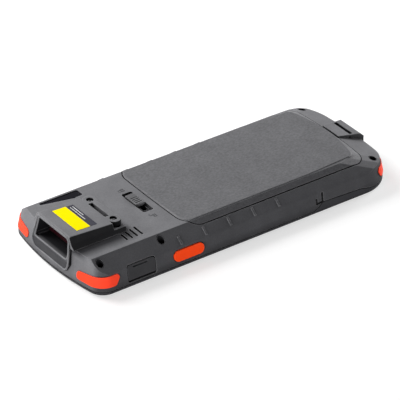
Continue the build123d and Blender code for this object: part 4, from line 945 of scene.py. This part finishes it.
def front_at(height):
    """x of the cap's front at a height."""
    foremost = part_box("scanner_cap")[0].x
    for (low, back_low), (high, back_high) in zip(FRONT_LINE, FRONT_LINE[1:]):
        if height <= high:
            return foremost + back_low + (back_high - back_low) * (height - low) / (high - low)
    return foremost + FRONT_LINE[-1][1]


def rounded_loop(corners, radius):
    """A closed outline with its corners rounded."""
    points = []
    for before, corner, after in zip(corners[-1:] + corners[:-1], corners, corners[1:] + corners[:1]):
        corner = Vector(corner)
        back = Vector(before) - corner
        ahead = Vector(after) - corner
        start = corner + back.normalized() * min(radius, back.length * RIM_CORNER_SHARE)
        end = corner + ahead.normalized() * min(radius, ahead.length * RIM_CORNER_SHARE)
        for step in range(RIM_STEPS + 1):
            share = step / RIM_STEPS
            points.append(start.lerp(corner, share).lerp(corner.lerp(end, share), share))
    return points


def bead(name, right, radius, proud):
    """A rounded bead on the cap's front, along a half outline and its mirror image."""
    curve = bpy.data.curves.new(name, "CURVE")
    curve.dimensions = "3D"
    curve.bevel_depth = radius
    curve.bevel_resolution = BEAD_RESOLUTION
    path = rounded_loop([*right, *((-y, z) for y, z in reversed(right))], RIM_CORNER)
    line = curve.splines.new("POLY")
    line.points.add(len(path) - 1)
    line.use_cyclic_u = True
    for point, (y, z) in zip(line.points, path):
        point.co = (front_at(z) + radius - proud, y, z, 1.0)
    return shown_mesh(add_object(name, curve))


def mouth_rim():
    """The beads around the scanner mouth: one on the outline of its frame, one on its opening."""
    form = bmesh.new()
    for settings in BEADS:
        form.from_mesh(bead(*settings))
    bmesh.ops.remove_doubles(form, verts=list(form.verts), dist=BEAD_MERGE)
    bmesh.ops.recalc_face_normals(form, faces=list(form.faces))
    for face in form.faces:
        face.smooth = True
    piece("mouth_rim", as_mesh(form, "mouth_rim"), "rim", "housing")


# ---------------------------------------------------------------- stage, lights, camera
FLOOR_SIZE = 6.0
FLOOR_ALBEDO = 0.50
FLOOR_GLOW = 0.57                # what only the camera, reflections and clear glass see
WORLD_LIGHT = 0.04
SOFT_BOXES = {                   # place, width and height in metres, watts
    "key_light": ((-0.16, 0.40, 0.30), (0.36, 0.36), 4.9),
    "scanner_end_light": ((-0.80, -0.25, 0.10), (0.40, 0.16), 5.4),
    "near_side_light": ((0.15, -0.95, 0.10), (1.20, 0.16), 3.8),
    "foot_end_light": ((0.80, 0.10, 0.30), (0.40, 0.30), 5.4),
}

# The camera, solved from the photograph's vanishing directions and the object's outline.
LENS_MM = 290.9
SENSOR_MM = 36.0
PICTURE_PIXELS = 400
CLIP_END = 20.0
VIEW_AZIMUTH = math.radians(-35.73)
VIEW_ELEVATION = math.radians(32.19)
VIEW_DISTANCE = 1.47568
AIM = Vector((0.0, 0.0, 0.008))
AIM_RIGHT_PIXELS = 5.51          # where the aim point stands, right of the picture's middle
AIM_UP_PIXELS = 8.22             # and above it


def light_path_share(tree):
    """1 where the camera, a reflection or clear glass looks, 0 where light falls."""
    path = tree.nodes.new("ShaderNodeLightPath")
    total = path.outputs["Is Camera Ray"]
    for name in ("Is Glossy Ray", "Is Transmission Ray"):
        add = tree.nodes.new("ShaderNodeMath")
        add.operation = "ADD"
        add.use_clamp = True
        tree.links.new(total, add.inputs[0])
        tree.links.new(path.outputs[name], add.inputs[1])
        total = add.outputs[0]
    return total


def floor_material():
    """Pale matt floor that takes the object's shadow and shows white where it is lit."""
    material = bpy.data.materials.new("floor")
    material.use_nodes = True
    tree = material.node_tree
    tree.nodes.clear()
    diffuse = tree.nodes.new("ShaderNodeBsdfDiffuse")
    diffuse.inputs["Color"].default_value = (FLOOR_ALBEDO, FLOOR_ALBEDO, FLOOR_ALBEDO, 1.0)
    glow = tree.nodes.new("ShaderNodeEmission")
    scale = tree.nodes.new("ShaderNodeMath")
    scale.operation = "MULTIPLY"
    scale.inputs[1].default_value = FLOOR_GLOW
    both = tree.nodes.new("ShaderNodeAddShader")
    output = tree.nodes.new("ShaderNodeOutputMaterial")
    tree.links.new(light_path_share(tree), scale.inputs[0])
    tree.links.new(scale.outputs[0], glow.inputs["Strength"])
    tree.links.new(diffuse.outputs[0], both.inputs[0])
    tree.links.new(glow.outputs[0], both.inputs[1])
    tree.links.new(both.outputs[0], output.inputs["Surface"])
    return material


def floor():
    """A wide floor under the object, which isn't part of it."""
    form = bmesh.new()
    bmesh.ops.create_grid(form, x_segments=1, y_segments=1, size=FLOOR_SIZE / 2)
    mesh = as_mesh(form, "floor")
    mesh.materials.append(floor_material())
    made = add_object("floor", mesh)
    made.location.z = cad_box[0][2]


def surround():
    """A surround that looks white and lights the object only softly."""
    world = bpy.data.worlds.new("surround")
    world.use_nodes = True
    tree = world.node_tree
    background = tree.nodes["Background"]
    background.inputs["Color"].default_value = (1.0, 1.0, 1.0, 1.0)
    strength = tree.nodes.new("ShaderNodeMapRange")
    strength.inputs["To Min"].default_value = WORLD_LIGHT
    strength.inputs["To Max"].default_value = 1.0
    tree.links.new(light_path_share(tree), strength.inputs["Value"])
    tree.links.new(strength.outputs["Result"], background.inputs["Strength"])
    bpy.context.scene.world = world


def lights():
    """Soft boxes, all turned to the aim point."""
    for name, (place, size, power) in SOFT_BOXES.items():
        light = bpy.data.lights.new(name, "AREA")
        light.shape = "RECTANGLE"
        light.size, light.size_y = size
        light.energy = power
        lamp = add_object(name, light)
        lamp.location = place
        lamp.rotation_euler = (Vector(place) - AIM).to_track_quat("Z", "Y").to_euler()


def camera():
    """The photograph's view: a long lens, turned a little off the aim point instead of shifted."""
    focal = LENS_MM / SENSOR_MM * PICTURE_PIXELS
    aim_right = AIM_RIGHT_PIXELS / focal
    aim_up = AIM_UP_PIXELS / focal
    back = Vector((math.sin(VIEW_AZIMUTH) * math.cos(VIEW_ELEVATION),
                   -math.cos(VIEW_AZIMUTH) * math.cos(VIEW_ELEVATION), math.sin(VIEW_ELEVATION)))
    right = Vector((math.cos(VIEW_AZIMUTH), math.sin(VIEW_AZIMUTH), 0.0))
    up = back.cross(right)
    turned_back = (back + right * aim_right + up * aim_up).normalized()
    turned_right = (right - back * aim_right).normalized()
    turned_up = turned_back.cross(turned_right)
    turn = Matrix((turned_right, turned_up, turned_back)).transposed()
    lens = bpy.data.cameras.new("camera")
    lens.lens = LENS_MM
    lens.sensor_width = SENSOR_MM
    lens.clip_end = CLIP_END
    made = add_object("camera", lens)
    made.matrix_world = Matrix.Translation(AIM + back * VIEW_DISTANCE) @ turn.to_4x4()
    bpy.context.scene.camera = made


# ---------------------------------------------------------------- the whole scene
def main():
    bpy.context.scene.view_settings.view_transform = "Standard"
    dress_nodes()
    padlock("padlock_closed", 0.0)
    padlock("padlock_open", SHACKLE_RADIUS * 2)
    key_marks()
    screws("scanner_cap_screws", CAP_SCREW_HEAD, "screw")
    screws("housing_screws", HOUSING_SCREW_HEAD, "black_screw")
    label_strip()
    mouth_rim()
    floor()
    surround()
    lights()
    camera()


main()
